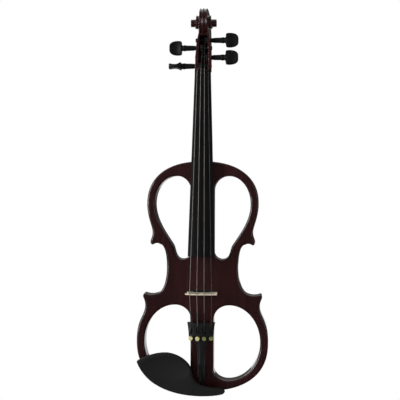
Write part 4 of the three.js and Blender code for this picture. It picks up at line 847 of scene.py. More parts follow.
# Each row: axis, radius, start, end, place across, sides
bores = {
    "buttonHole": ("z", 3.8, -1, 28.3, (0, 13)), "leadHole": ("y", 1.2, -1, 13, (-2, 154), 16),
    "jackHole": ("x", 4.8, -60, -24.2, (14, 184.5)), "jackSeat": ("x", 7.2, -62, -53.2, (14, 184.5)),
}
plateScrews = [(-46, 149), (8, 149), (-46, 193), (8, 193)]


def makeBody():
    b = body
    openings = [evened(loop, b["step"], 60) for loop in bodyOpenings()]
    outline = evened(bodyOutline(), b["step"])
    piece = slab("violin_body", outline, 0, b["thickness"], b["edge"], b["rounds"], openings)
    tools = [block(name, *ends) for name, ends in cuts.items()]
    tools += [rod(name, *bore) for name, bore in bores.items()]
    tools += [rod(f"plateHole{i}", "y", b["screwHole"], 16, 25, place, 16)
              for i, place in enumerate(plateScrews)]
    carve(piece, tools)
    chamfer(piece, 0.35, 2, 50)
    settle(piece, "instrument", ["spine_block", "bass_wing", "treble_wing"], "lacquer", 40)


makeBody()
print("body made")


# Fingerboard, nut and saddle

board = {
    "top": 491, "end": 210, "nutWidth": 24.6, "endWidth": 41.6, "edge": 5.2, "radius": 42,
    "crownAtNut": 9.6, "crownAtEnd": 26.5, "nutLength": 4.5, "nutLift": 0.6, "round": 0.7,
    "nutRise": [(0, 0.6), (0.2, 0.75), (0.5, 0.7), (0.8, 0.4), (1, 0)], "saddle": (-15, 15, -9, 4, 0, 5.8),
}


def alongBoard(z, atNut, atEnd):
    return atNut + (board["top"] - z) / (board["top"] - board["end"]) * (atEnd - atNut)


def boardArch(x):
    return board["radius"] - math.sqrt(board["radius"] ** 2 - x * x)


def boardHalf(z):
    return alongBoard(z, board["nutWidth"], board["endWidth"]) / 2


def boardTop(x, z):
    return boardArch(x) - alongBoard(z, board["crownAtNut"], board["crownAtEnd"])


def boardUnder(z):
    under = [boardArch(half / 2) - crown + board["edge"] for half, crown in (
        (board["nutWidth"], board["crownAtNut"]), (board["endWidth"], board["crownAtEnd"]))]
    return alongBoard(z, *under)


def archedRing(z, half, topOf, under, steps=36):
    top = [(half * (2 * i / steps - 1), topOf(half * (2 * i / steps - 1)), z) for i in range(steps + 1)]
    return top + [(half, under, z), (-half, under, z)]


def makeFingerboard():
    b = board
    rings = [archedRing(z, boardHalf(z), lambda x, z=z: boardTop(x, z), boardUnder(z))
             for z in (b["end"] + (b["top"] - b["end"]) * i / 24 for i in range(25))]
    piece = loft("ebony_fingerboard", rings)
    chamfer(piece, b["round"], 3, 40)
    settle(piece, "instrument", ["fingerboard"], "ebony", 30)

    half, under, top = b["nutWidth"] / 2, boardUnder(b["top"]), b["top"]
    rings = [archedRing(top + share * b["nutLength"], half, lambda x, lift=lift: boardTop(x, top) - lift,
                        under)
             for share, lift in b["nutRise"]]
    nut = loft("top_nut", rings)
    grooves = []
    for name, size in stringSet.items():
        below, mid, above = stringLine(name)[-4:-1]
        path = [below - Vector((0, 0, 4)), mid, above + Vector((0, 0, 2))]
        grooves.append(tube(f"groove_{name}", path, size["diameter"] / 2 + 0.22, 12))
    carve(nut, grooves)
    settle(nut, "instrument", ["nut"], "ebony", 35)

    saddle = block("tail_saddle", *b["saddle"])
    chamfer(saddle, 1.2, 4, 40)
    settle(saddle, "instrument", ["saddle"], "ebony", 35)


# Strings

stringSet = {
    "g": {"diameter": 0.8, "nutX": -8.4, "bridgeX": -16.5, "endHeight": 5, "windStart": 2.8, "turns": 3},
    "d": {"diameter": 0.74, "nutX": -2.8, "bridgeX": -5.5, "endHeight": 4.6, "windStart": 1.6, "turns": 3},
    "a": {"diameter": 0.68, "nutX": 2.8, "bridgeX": 5.5, "endHeight": 4.2, "windStart": 1.6, "turns": 3},
    "e": {"diameter": 0.3, "nutX": 8.4, "bridgeX": 16.5, "endHeight": 3.4, "windStart": 4.2, "turns": 4},
}
pegPlaces = {
    "g": {"z": 503.2, "y": 5.5, "side": -1, "turn": 90},
    "e": {"z": 517, "y": 9, "side": 1, "turn": 0},
    "d": {"z": 532.5, "y": 13, "side": -1, "turn": 0},
    "a": {"z": 545, "y": 16.5, "side": 1, "turn": 0},
}
tail = {
    "z": 17.5, "y": -13.2, "tilt": math.radians(5.4), "length": 91.3, "half": 21.3, "arch": 60, "depth": 11,
    "stemDepth": 6, "screwW": 68.9, "pivotW": 80.5, "pivotV": 8, "slotStart": 74.4, "slotEnd": 84.8,
    "spacing": 10.4, "ballW": 76.2,
}
tunerX = {name: (i - 1.5) * tail["spacing"] for i, name in enumerate("gdae")}
bridgeZ = 154
windingStep = 0.46
silkTop = 126
fitGap = 0.3
grooveGap = 0.2
pegRadius = 3.5


def tailPoint(x, v, w):
    c, s = math.cos(tail["tilt"]), math.sin(tail["tilt"])
    return Vector((x, tail["y"] + v * c - w * s, tail["z"] + v * s + w * c))


def tailSink(x):
    return tail["arch"] - math.sqrt(tail["arch"] ** 2 - x * x)


def stringLine(name):
    size, b = stringSet[name], board
    radius = size["diameter"] / 2
    nutY = boardTop(size["nutX"], b["top"]) - b["nutLift"] - grooveGap - radius
    share = (b["top"] - b["end"]) / (b["top"] - bridgeZ)
    endX = size["nutX"] + (size["bridgeX"] - size["nutX"]) * share
    endY = boardTop(endX, b["end"]) - size["endHeight"] - radius
    bridgeY = nutY + (endY - nutY) / share
    sink = tailSink(tunerX[name])
    over = sink - radius - grooveGap
    rearNut = Vector((size["nutX"], nutY + b["nutLift"] / 2, b["top"] + b["nutLength"]))
    return [
        tailPoint(tunerX[name], sink, tail["ballW"]),
        tailPoint(tunerX[name], over, tail["slotEnd"] - radius - fitGap),
        tailPoint(tunerX[name], over, tail["length"] - radius),
        Vector((size["bridgeX"], bridgeY, bridgeZ)),
        Vector((size["nutX"], nutY, b["top"])),
        rearNut,
        windingPath(name, rearNut)[0],
    ]


def windingPath(name, rearNut):
    size, peg = stringSet[name], pegPlaces[name]
    side, diameter = peg["side"], size["diameter"]
    coil = pegRadius + fitGap + diameter / 2
    toY, toZ = peg["y"] - rearNut.y, peg["z"] - rearNut.z
    distance = math.hypot(toY, toZ)
    heading = math.atan2(toZ, toY) + math.asin(coil / distance)
    ahead = Vector((0, math.cos(heading), math.sin(heading)))
    startX = side * size["windStart"]
    touch = Vector((startX, rearNut.y, rearNut.z)) + ahead * math.sqrt(distance ** 2 - coil ** 2)
    lead = math.sqrt((coil + diameter + fitGap) ** 2 - coil ** 2)
    steps = 40
    path = [touch - ahead * (lead + fitGap), touch - ahead * lead, touch - ahead * (lead / 2)]
    for i in range(size["turns"] * steps + 1):
        angle = heading + math.pi / 2 - 2 * math.pi * i / steps
        x = startX + side * (diameter + windingStep) * i / steps
        path.append(Vector((x, peg["y"] + coil * math.cos(angle), peg["z"] + coil * math.sin(angle))))
    path.append(path[-1] + ahead * diameter)
    return path


# Part of a line of points between two heights
def clipLine(line, low, high):
    made = []
    for a, b in zip(line, line[1:]):
        if b.z <= low or a.z >= high:
            continue
        for height in (low, high):
            if a.z < height < b.z:
                cutPoint = a.lerp(b, (height - a.z) / (b.z - a.z))
                made.append(cutPoint)
        made += [p for p in (a, b) if low <= p.z <= high]
    made.sort(key=lambda p: p.z)
    return [p for i, p in enumerate(made) if i == 0 or (p - made[i - 1]).length > 1e-4]


ballProfile = [(-1.5, 0.7), (-1.2, 1.25), (-0.6, 1.5), (0.6, 1.5), (1.2, 1.25), (1.5, 0.7)]


# Along each string: dark silk at the peg and at the tail (painted shade), bare wire, and coloured silk up
# to the bridge
def makeStrings():
    for name, size in stringSet.items():
        radius = size["diameter"] / 2
        silk = max(radius, 0.3) + 0.16
        line = stringLine(name)
        edge, nutZ = line[2].z - 4, board["top"]
        parts = [
            tube(f"{part}_{name}", clipLine(line, low, high), thick, 12, look)
            for part, low, high, thick, look in (
                ("wire", silkTop - 2, nutZ + 9, radius, "plainWire" if name == "e" else "wire"),
                ("nut_wrap", nutZ + 8, 600, radius, "silk_peg"),
                ("wrap", edge, silkTop, silk, f"silk_{name}"),
                ("tail_wrap", line[0].z, edge, silk, "silk_peg"))]
        # The ball is dark metal, painted shade inside the tailpiece's slot
        parts.append(turned(f"ball_{name}", ballProfile, "x", line[0], 20, "shadeDarkMetal"))
        for part in parts:
            smooth(part, 50, False)
        piece = merge(f"violin_string_{name}", parts)
        settle(piece, "instrument", [f"string_{name}"])

        thick = radius + (0 if name == "e" else 0.04)
        # The winding on the peg is in the dark peg silk, painted shade of the pegbox
        coil = tube(f"peg_winding_{name}", windingPath(name, line[5])[1:], thick, 12, "silk_peg")
        settle(coil, f"peg_{name}", [f"winding_{name}"], None, 50, False)


makeFingerboard()
makeStrings()
print("fingerboard and strings made")


# Neck and head

# "shares" has a row for each place along the pegbox: the place, the front's and the back's width as shares,
# and how far the front and the back have gone over to the scroll. "widths" are turns of the scroll and half
# widths as shares of the eye's. "fans" are its stretches: first and last turn, steps, depth of the flutes
# and width at the hub.
head = {
    "heel": 356.3, "heelRise": 22, "heelHalf": 11,
    "heelShares": [0, 0.04, 0.08, 0.13, 0.19, 0.26, 0.34, 0.43, 0.53, 0.65, 0.8, 1],
    "neckDepth": (12.4, 15), "start": 495.5, "width": 25.6, "chinY": 20, "corner": 3,
    "cavity": (497.5, 551.5), "cavityWidths": (16, 14.6, 11.6), "floor": 5.5, "scroll": (11, 570.5),
    "topRadius": 23.5, "decay": 0.104, "eyeWidth": 40, "eyeRadius": 5.75, "voxel": 0.58, "softening": 3,
    "tenonHalf": 12.7, "tenonFoot": 349,
    "shares": [(0, 1, 0.94, 0, 0), (0.3, 0.96, 0.93, 0.16, 0.37), (0.6, 0.84, 0.88, 0.4, 0.72),
               (0.79, 0.62, 0.83, 0.66, 0.89), (1, 0.6, 0.78, 1, 1)],
    "widths": [(0, 0.5), (0.125, 0.4), (0.25, 0.27), (0.5, 0.32), (0.75, 0.37), (1, 0.43), (1.25, 0.58),
               (1.5, 0.59), (1.75, 0.62), (2, 0.78), (2.25, 0.96)],
    "fans": [(0, 0.52, 40, 1.7, 15.36), (0.5, 1.02, 40, 1.7, 15.36), (1, 1.52, 32, 0.85, 22.4),
             (1.5, 2.02, 32, 0, 26.4), (2, 2.25, 16, 0, 36)],
}


def neckRing(z, half, front, depth, steps=28):
    ring = []
    for i in range(steps + 1):
        a = math.pi * i / steps
        ring.append((half * math.cos(a), front + depth * max(math.sin(a), 0) ** 0.75, z))
    return ring


def neckDepth(z):
    thin, thick = head["neckDepth"]
    return thin + (board["top"] - z) / (board["top"] - head["heel"]) * (thick - thin)


def spiral(angle):
    return head["topRadius"] * math.exp(-head["decay"] * (angle - math.pi / 2))


def scrollHalf(turn):
    places = [t for t, _ in head["widths"]]
    return head["eyeWidth"] / 2 * float(np.interp(turn, places, [w for _, w in head["widths"]]))


# Part of a turn of the scroll, a fan of wedges round the eye, with two flutes along its rim
def scrollFan(name, first, last, steps, flute, hubWidth):
    across = [-1 + k / 8 for k in range(17)]
    ribs = len(across)
    middleY, middleZ = head["scroll"]
    points, faces = [], []
    for i in range(steps + 1):
        turn = first + (last - first) * i / steps
        angle = 2 * math.pi * turn
        for share in across:
            radius = spiral(angle) - flute * math.sin(math.pi * share) ** 2
            y, z = middleY + radius * math.cos(angle), middleZ + radius * math.sin(angle)
            points.append((scrollHalf(turn) * share, y, z))
    hub = len(points)
    points += [(-hubWidth / 2, middleY, middleZ), (hubWidth / 2, middleY, middleZ)]
    for i in range(steps):
        a, b = i * ribs, (i + 1) * ribs
        faces += [(a + k, a + k + 1, b + k + 1, b + k) for k in range(ribs - 1)]
        faces += [(hub, a, b), (hub + 1, b + ribs - 1, a + ribs - 1)]
    end = steps * ribs
    faces.append((hub, hub + 1, *range(ribs - 1, -1, -1)))
    faces.append((hub + 1, hub, *range(end, end + ribs)))
    return tidyMesh(newPiece(name, points, faces), 0.000001)


def makeNeck(under):
    h = head
    start = h["heel"] + h["heelRise"]
    rings = []
    for share in h["heelShares"]:
        z = h["heel"] + share * h["heelRise"]
        fall = (1 - share) ** 2.4
        half, depth = boardHalf(z), neckDepth(z)
        heelHalf = (half + h["heelHalf"]) / 2
        rings.append(neckRing(z, half + (heelHalf - half) * fall, boardUnder(z),
                              depth + (body["thickness"] - boardUnder(z) - depth) * fall))
    for share in (0.2, 0.4, 0.6, 0.8, 0.92, 1):
        z = start + share * (board["top"] - start)
        rings.append(neckRing(z, boardHalf(z), boardUnder(z), neckDepth(z)))
    rings.append(neckRing(h["start"], h["width"] / 2, under, h["chinY"] - under - h["floor"]))
    return loft("neck", rings)


def makePegbox(under, backY, length):
    h, corner = head, head["corner"]
    places, *columns = zip(*h["shares"])
    quarter = [math.pi / 2 * k / 6 for k in range(7)]
    rings = []
    for along in np.linspace(0, 1, 17):
        near, far, front, back = (float(np.interp(along, places, column)) for column in columns)
        z = h["start"] + along * length
        nearY = under + front * (h["scroll"][0] - under)
        farY = h["chinY"] + back * (backY - h["chinY"])
        near, far = near * h["width"] / 2, far * h["width"] / 2
        turn = [(far - corner * (1 - math.cos(a)), farY - corner * (1 - math.sin(a))) for a in quarter]
        ring = [(-near, nearY), (near, nearY), *turn, *[(-x, y) for x, y in turn[::-1]]]
        rings.append([(x, y, z) for x, y in ring])
    return loft("pegbox", rings)


def makeHead():
    h = head
    under = boardUnder(board["top"])
    backY = h["scroll"][0] + spiral(0)
    length = h["scroll"][1] - h["start"]
    neck = makeNeck(under)
    parts = [makePegbox(under, backY, length)]
    parts += [scrollFan(f"fan{i}", *fan) for i, fan in enumerate(h["fans"])]
    parts.append(rod("eye", "x", h["eyeRadius"], -h["eyeWidth"] / 2, h["eyeWidth"] / 2, h["scroll"], 48))
    tenonEnd = h["heel"] + fitGap
    half = h["tenonHalf"]
    parts.append(block("tenon", -half, half, boardUnder(tenonEnd), body["thickness"], h["tenonFoot"],
                       tenonEnd))
    carve(neck, parts, "UNION")

    low, high = h["cavity"]
    hollow = []
    for z, width in zip((low, (low + high) / 2, high), h["cavityWidths"]):
        w = width / 2
        floor = h["chinY"] + (z - h["start"]) / length * (backY - h["chinY"]) - h["floor"]
        side = [(w, -26, z), (w, floor - 2, z), (w - 2, floor, z)]
        hollow.append([(-w, -26, z), *side, *[(-x, y, z) for x, y, z in side[:0:-1]]])
    tools = [loft("cavity", hollow)]
    tools += [rod(f"pegHole{name}", "x", pegRadius + fitGap, -22, 22, (place["y"], place["z"]), 32)
              for name, place in pegPlaces.items()]
    carve(neck, tools)
    mould(neck, h["voxel"], h["softening"])
    neck.name = "carved_neck_and_head"
    settle(neck, "instrument", ["neck_and_head"], "lacquer", 60, False)


makeHead()
print("neck and head made")


# Pegs

# The leaf's grip is thinner than its ends: "grip" is its thickness as a share, "outer" and "root" what the
# ends add, as a factor and a power, "most" the limit, and "thin" how much the edges thin beside the middle.
peg = {
    "reach": 53.8, "headLength": 19.8, "headHeight": 22.8, "thickness": 8.4, "bevel": 1.8, "voxel": 0.28,
    "neck": 2.65, "grip": 0.83, "outer": (0.3, 2), "root": (0.82, 1.9), "most": 1.45, "thin": 0.6,
    "stem": [(-13.1, 0.0), (-13.1, 2.6), (-12.5, 3.2), (13.4, 3.5), (16, 4.0), (27.2, 4.25), (28.0, 4.5),
             (28.9, 4.8), (30.4, 4.8), (31.4, 4.4), (32.2, 4.25), (33.2, 4.6), (34.3, 5.0), (35.8, 5.1),
             (37.0, 4.5), (38.4, 3.0), (38.8, 0.0)],
}


# Moves each point of a piece, in millimetres, to where a function puts it
def reshape(piece, move):
    origin = at(0, 0, 0)
    for v in piece.data.vertices:
        v.co = at(*move(*((v.co - origin) * 1000)))


def leafOutline(start, high):
    p = peg
    root = (start, p["neck"])
    shoulder = (start + p["headLength"] * 0.07, high * 0.92)
    widest = (start + p["headLength"] * 0.34, high)
    outer = (p["reach"], high * 0.25)
    upper = [root, *bend(root, shoulder, (0, 0.6, 0.3, 1), 10),
             *bend(shoulder, widest, (0.4, 0.8, 0.7, 1), 10),
             *bend(widest, outer, (0.5, 0, 1, 0.3), 24)]
    return evened(upper + [(x, -v) for x, v in reversed(upper)], 0.7)


def makePegs():
    p = peg
    start = p["reach"] - p["headLength"]
    high = p["headHeight"] / 2

    def thinned(x, y, z):
        along = (x - start) / (p["headLength"] / 2) - 1
        factor, power = p["outer"] if along > 0 else p["root"]
        lens = 1 - p["thin"] * (z / high) ** 2 * (1 - along ** 2)
        return x, y * min(p["grip"] + factor * abs(along) ** power, p["most"]) * lens, z

    for name, place in pegPlaces.items():
        leaf = slab(f"leaf_{name}", leafOutline(start, high),
                    -p["thickness"] / 2, p["thickness"], p["bevel"], 6)
        mould(leaf, 0.5, 0)
        reshape(leaf, thinned)
        stem = turned(f"stem_{name}", p["stem"], "x", (0, 0, 0), 40)
        piece = merge(f"tuning_peg_{name}", [stem, leaf])
        mould(piece, p["voxel"], 2)
        turn = Matrix.Rotation(math.radians(place["turn"]), 4, "X")
        if place["side"] < 0:
            turn = turn @ Matrix.Rotation(math.pi, 4, "Z")
        shift = Matrix.Translation(at(0, place["y"], place["z"]))
        piece.data.transform(shift @ turn @ Matrix.Translation(-at(0, 0, 0)))
        settle(piece, f"peg_{name}", [f"peg_{name}"], "pegWood", 60, False)


makePegs()
print("pegs made")


# Bridge and pickup

# "side" and "heart" are outlines as shares of the half width and of the rise over the pickup
bridge = {
    "foot": 3.8, "top": 1.4, "face": 0.4, "half": 24.2, "shoulder": 19.5, "drop": 1.4, "gap": 0.32,
    "pickup": 1.6, "pickupHalf": 24.5, "pickupDepth": 6.4,
    "side": [(0.93, 0.78), (1, 0.71), (0.97, 0.63), (0.82, 0.6), (0.75, 0.55), (0.73, 0.47), (0.8, 0.4),
             (0.83, 0.3), (0.87, 0.19), (0.96, 0.12), (0.97, 0.0), (0.55, 0.0), (0.54, 0.09), (0.46, 0.17),
             (0.3, 0.23), (0.1, 0.25)],
    "heart": [(0, 0.37), (0.09, 0.45), (0.16, 0.54), (0.14, 0.61), (0.06, 0.62), (0, 0.56), (-0.06, 0.62),
              (-0.14, 0.61), (-0.16, 0.54), (-0.09, 0.45)],
}


def bridgeCrest(x):
    places, heights = [], []
    for name, size in stringSet.items():
        places.append(size["bridgeX"])
        heights.append(-stringLine(name)[3].y - size["diameter"] / 2 - bridge["gap"])
    if places[0] <= x <= places[-1]:
        return float(np.interp(x, places, heights))
    ends = (0, 1) if x < places[0] else (2, 3)
    slope = (heights[ends[1]] - heights[ends[0]]) / (places[ends[1]] - places[ends[0]])
    return heights[ends[0]] + slope * (x - places[ends[0]])


def makeBridge():
    b = bridge
    peak = bridgeCrest(0)
    rise = peak - b["pickup"]
    crest = [(side * b["shoulder"], bridgeCrest(side * b["shoulder"]) - b["drop"]) for side in (-1, 1)]
    over = [(size["bridgeX"], bridgeCrest(size["bridgeX"])) for size in stringSet.values()]
    top = splined([crest[0], *over, crest[1]], 10)
    right, heart = ([(x * b["half"], b["pickup"] + h * rise) for x, h in b[part]]
                    for part in ("side", "heart"))
    curved = splined(right[:10], 6)[:-1] + right[9:11] + splined(right[11:], 6)
    outline = evened(top + curved + [(-x, h) for x, h in curved[::-1]], 0.8)
    hole = evened(splined(heart, 5, True), 0.7, 70)
    piece = slab("maple_bridge", outline, -b["foot"] / 2, b["foot"], 0.5, 3, [hole])
    low = b["pickup"] + rise * 0.2

    def stood(x, y, h):
        share = min(max((h - low) / (peak - low), 0), 1)
        return x, -h, bridgeZ + b["face"] - (b["foot"] / 2 - y) * (1 + share * (b["top"] / b["foot"] - 1))

    reshape(piece, stood)
    tidyMesh(piece)
    settle(piece, "instrument", ["bridge"], "maple", 40)

    half, deep = b["pickupHalf"], b["pickupDepth"] / 2
    bar = block("pickup_bar", -half, half, -b["pickup"], 0, bridgeZ - deep, bridgeZ + deep)
    chamfer(bar, 0.5, 3, 40)
    settle(bar, "instrument", ["bridge_pickup"], "piezoPlastic", 35)
    lead = tube("pickup_wire", [(-2, y, bridgeZ) for y in (0, 4, 9.4)], 0.9, 16)
    settle(lead, "instrument", ["pickup_lead"], "piezoPlastic", 40)


makeBridge()
print("bridge made")


# Tailpiece, tail cord and end button

# "bell" is the outline from "bellStart" to the end, as shares of the way and of the half width. "lip" is
# where the inner lip starts and how deep it lies. "button" is a profile along the button's axis.
tailShape = {
    "bellStart": 35.9, "wall": 1, "roof": 4.6, "bore": 1.3, "deepFrom": 50, "voxel": 0.36, "groove": 2,
    "grooveEnd": 26, "ridge": 1.1, "ridgeHalf": 4.5, "shoulder": 12, "stemArch": 2.2, "slotHalf": 1.7,
    "screwBore": 1.4, "lip": (81.4, 10.35),
    "bell": [(0, 0.27), (0.18, 0.285), (0.303, 0.34), (0.406, 0.42), (0.471, 0.51), (0.507, 0.62),
             (0.54, 0.8), (0.566, 0.87), (0.616, 0.89), (0.796, 0.92), (0.922, 0.96), (1, 1)],
    "button": [(-10.1, 0.0), (-10.1, 3.0), (-9.9, 3.9), (-9.4, 5.0), (-8.6, 5.9), (-7.6, 6.4), (-6.6, 6.5),
               (-5.7, 6.3), (-5.1, 5.7), (-4.7, 4.7), (-4.2, 4.1), (-3, 3.9), (-0.9, 4.0), (-0.3, 4.0),
               (-0.3, 3.5), (28, 3.0), (28, 0.0)],
}
cord = {
    "x": 3, "bore": 3, "radius": 1, "inside": 11.7, "saddleTop": -9, "saddleEnd": 5.8, "buttonY": 13,
    "buttonNeck": 4,
}


def tailHalf(w):
    s = tailShape
    share = (w - s["bellStart"]) / (tail["length"] - s["bellStart"])
    return tail["half"] * float(np.interp(share, *zip(*s["bell"])))


# From 0 to 1 as a place goes from start to end
def grade(place, start, end):
    return min(max((place - start) / (end - start), 0), 1)


# How deep the tailpiece's face lies: arched, with a ridge along its middle and two grooves at its stem
def tailFace(x, w, half):
    s = tailShape
    crest = s["ridge"] * grade(w, 16, 36) * grade(w, 88, 58)
    v = tailSink(x) - crest * (max(1 - abs(x) / s["ridgeHalf"], 0) - 0.4)
    v += s["shoulder"] * max(abs(x) / half - 0.78, 0) ** 1.5 * grade(w, 70, 62)
    v += s["stemArch"] * (x / half) ** 2 * grade(w, 62, 48)
    v += s["groove"] * abs(math.cos(math.pi * (x / half) * 0.9)) ** 1.5 * grade(w, s["grooveEnd"], 20)
    return max(v, 0.02)


def inTail(piece):
    turn = Matrix.Rotation(tail["tilt"], 4, "X")
    shift = Matrix.Translation(at(0, tail["y"], tail["z"]))
    piece.data.transform(shift @ turn @ Matrix.Translation(-at(0, 0, 0)))
    return piece


def makeShell():
    t, s = tail, tailShape
    rings = []
    for w in np.linspace(0, t["length"], 95):
        half = tailHalf(w)
        depth = t["stemDepth"] + (t["depth"] - t["stemDepth"]) * grade(w, s["deepFrom"], s["deepFrom"] + 6)
        xs = [half * (2 * i / 48 - 1) for i in range(49)]
        back = [(half * share, depth, w) for share in (1, 0.5, 0, -0.5, -1)]
        rings.append([(x, tailFace(x, w, half), w) for x in xs] + back)
    piece = loft("tailpiece_shell", rings)
    hollow = []
    for w in (t["screwW"] - 6, 66.2, t["screwW"], 75, t["pivotW"], t["length"] - 2.5):
        half = tailHalf(w) - s["wall"]
        hollow.append([(half, s["roof"], w), (half, 12, w), (-half, 12, w), (-half, s["roof"], w)])
    tools = [loft("pocket", hollow),
             rod("pivotHole", "x", s["bore"], -30, 30, (t["pivotV"], t["pivotW"]), 20)]
    for name, x in tunerX.items():
        slot = (x - s["slotHalf"], x + s["slotHalf"], -2, 12, t["slotStart"], t["slotEnd"])
        tools += [block(f"slot_{name}", *slot),
                  rod(f"hole_{name}", "y", s["screwBore"], -2, 12, (x, t["screwW"]), 20)]
    tools += [rod(f"bore{x}", "z", s["bore"], -2, 12, (x, cord["bore"]), 20)
              for x in (-cord["x"], cord["x"])]
    carve(piece, tools)
    low, deep = s["lip"]
    half = tailHalf(low) - 0.6
    carve(piece, [block("end_lip", -half, half, deep, t["depth"], low, t["length"] - 1.5)], "UNION")
    mould(piece, s["voxel"], 3)
    settle(inTail(piece), "instrument", ["tailpiece"], "tailPlastic", 60, False)


def makeTailpiece():
    makeShell()
    half = tailHalf(tail["pivotW"]) - fitGap
    profile = [(-half, 0.7), (-half + 0.3, 1), (half - 0.3, 1), (half, 0.7)]
    pivot = inTail(turned("tuner_axle", profile, "x", (0, tail["pivotV"], tail["pivotW"]), 24))
    settle(pivot, "instrument", ["tuner_pivot_rod"], "steel", 40)

    c = cord
    x, top, reach = c["x"], c["saddleTop"], c["radius"] + fitGap
    left = [tailPoint(-x, c["bore"], c["inside"]), tailPoint(-x, c["bore"], -fitGap), *(
        Vector((-x, y, z)) for y, z in (
            (top - reach, c["saddleEnd"]), (top - reach, 0),
            (top - reach * 0.7, -reach * 0.7), (top, -reach)))]
    loop = c["buttonNeck"] + reach
    bow = [Vector((loop * math.cos(a), c["buttonY"] + loop * math.sin(a), -reach))
           for a in (math.pi * (1 - i / 32) for i in range(33))]
    right = [Vector((-p.x, p.y, p.z)) for p in reversed(left)]
    line = tube("tail_cord", left + bow + right, c["radius"], 16)
    settle(line, "instrument", ["tail_gut"], "tailCord", 40, False)

    button = turned("tail_button", tailShape["button"], "z", (0, c["buttonY"], 0), 48)
    settle(button, "instrument", ["end_button"], "pegWood", 35)


# Fine tuners

tuner = {
    "headRadius": 3.3, "headHeight": 2.8, "rise": 3.4, "shank": 1.1, "tip": 6.7, "threads": 12,
    "threadStep": 0.5, "threadRadius": 1.24, "ribs": 22, "rib": 0.36, "hub": 2.2, "half": 1.4,
    "arm": (8.5, 10.2),
    "pad": [(7.0, 1.2), (7.15, 1.5), (8.05, 1.5), (8.2, 1.2)],
}
# The A and E screws are a darker, more olive brass than the G and D
tunerLooks = {"g": "brass", "d": "brass", "a": "darkerBrass", "e": "darkerBrass"}


def makeTuner(name):
    t, screwW = tuner, tail["screwW"]
    pivot = (tail["pivotV"], tail["pivotW"])
    x, top = tunerX[name], tailSink(tunerX[name])
    low = top - t["rise"]
    high = low - t["headHeight"]
    r = t["headRadius"] - 0.3
    look = tunerLooks[name]
    screw = turned(f"screw_{name}", [
        (high, 0.0), (high + 0.25, r * 0.35), (high + 0.1, r * 0.45), (high, r * 0.78),
        (high + 0.3, r * 0.94), (high + 0.7, r), (low - 0.6, r), (low - 0.15, r * 0.9), (low, r * 0.7),
        (low, 1.6), (low + 0.7, 1.5), (low + 0.9, t["shank"]), (t["tip"] - 0.3, t["shank"]),
        (t["tip"], 0.8), (t["tip"], 0.0)],
        "y", (x, 0, screwW), 40, look)
    smooth(screw, 35)
    ribs = ribRing(f"knurl_{name}", "y", (x, (high + low) / 2, screwW), t["ribs"],
                   t["headRadius"] - 0.34, t["rib"], t["headHeight"] - 1.1, look)
    smooth(ribs, 50, False)
    ridge = [(-0.2, t["shank"]), (0, t["threadRadius"]), (0.2, t["shank"])]
    part = turned("threadPart", ridge, "y", (0, 0, 0), 24)
    step = (0, t["threadStep"], 0)
    threads = partRows(f"thread_{name}", part, t["threads"], [(x, low + 1.2, screwW)], step, look)
    piece = inTail(merge(f"thumb_screw_{name}", [screw, ribs, threads]))
    settle(piece, f"tuner_screw_{name}", [f"tuner_screw_{name}"])

    # The pad and the lever are dark metal, painted shade inside the tailpiece
    pad = inTail(turned(f"screw_pad_{name}", t["pad"], "y", (x, 0, screwW), 28))
    settle(pad, f"tuner_pad_{name}", [f"tuner_pad_{name}"], "shadeDarkMetal", 40)

    half = t["half"]
    hub = rod(f"hub_{name}", "x", t["hub"], x - half, x + half, pivot, 36)
    arm = block(f"arm_{name}", x - half, x + half, *t["arm"], screwW - half, pivot[1])
    prongs = [block(f"prong_{name}{k}", *sorted((x + k * 0.6, x + k * half)), top - 1.2, 8, 78, pivot[1])
              for k in (-1, 1)]
    carve(hub, [arm, *prongs], "UNION")
    carve(hub, [rod(f"bore_{name}", "x", tailShape["bore"], x - 3, x + 3, pivot, 24)])
    chamfer(hub, 0.22, 2, 40)
    inTail(hub).name = f"string_lever_{name}"
    settle(hub, f"tuner_lever_{name}", [f"tuner_lever_{name}"], "shadeDarkMetal", 35)


makeTailpiece()
for name in stringSet:
    makeTuner(name)
print("tailpiece and tuners made")


# Chinrest and its clamp

chin = {
    "tip": (-98, 50), "crest": (-54, 63.2), "waist": (-14, 37), "wing": (7, 12.8), "end": (36.4, 7.4),
    "heel": (30, 0.2), "tail": (-5, -1.4), "belly": (-66.5, 13.6), "front": 29, "under": 15, "edge": 3.6,
    "voxel": 0.75, "dish": (-54, 39), "dishSize": (88, 48), "dishDepth": 6, "wingFront": 20,
    "feet": [(-44, -10, 8, 13.5), (15.3, 30, 4.2, 8.2)], "cork": 2, "corkInset": 0.8,
}


def chinOutline():
    c = chin
    return [
        *bend(c["tip"], c["crest"], (0.27, 0.53, 0.64, 1), 24),
        *bend(c["crest"], c["waist"], (0.42, 0, 0.92, 0.46), 24),
        *bend(c["waist"], c["wing"], (0.12, 0.6, 0.38, 0.925), 24),
        *bend(c["wing"], c["end"], (0.35, 0.4, 0.7, 0.72), 12),
        *bend(c["end"], c["heel"], (-0.3, 0.35, 0.15, 0.95), 12),
        *bend(c["heel"], c["tail"], (0.2, 1.2, 0.7, 1.3), 16),
        *bend(c["tail"], c["belly"], (0.38, 0.04, 0.72, 0.35), 20),
        *bend(c["belly"], c["tip"], (0.45, 0.2, 0.87, 0.62), 24),
    ]


def makeDish():
    c = chin
    ball = bmesh.new()
    bmesh.ops.create_uvsphere(ball, u_segments=64, v_segments=40, radius=1)
    mesh = bpy.data.meshes.new("dish")
    ball.to_mesh(mesh)
    ball.free()
    x, z = c["dish"]
    size = (c["dishSize"][0] / 2000, 2 * c["dishDepth"] / 1000, c["dishSize"][1] / 2000, 1)
    mesh.transform(Matrix.Translation(at(x, -c["front"] - c["dishDepth"], z)) @ Matrix.Diagonal(size))
    return linked("dish", mesh)


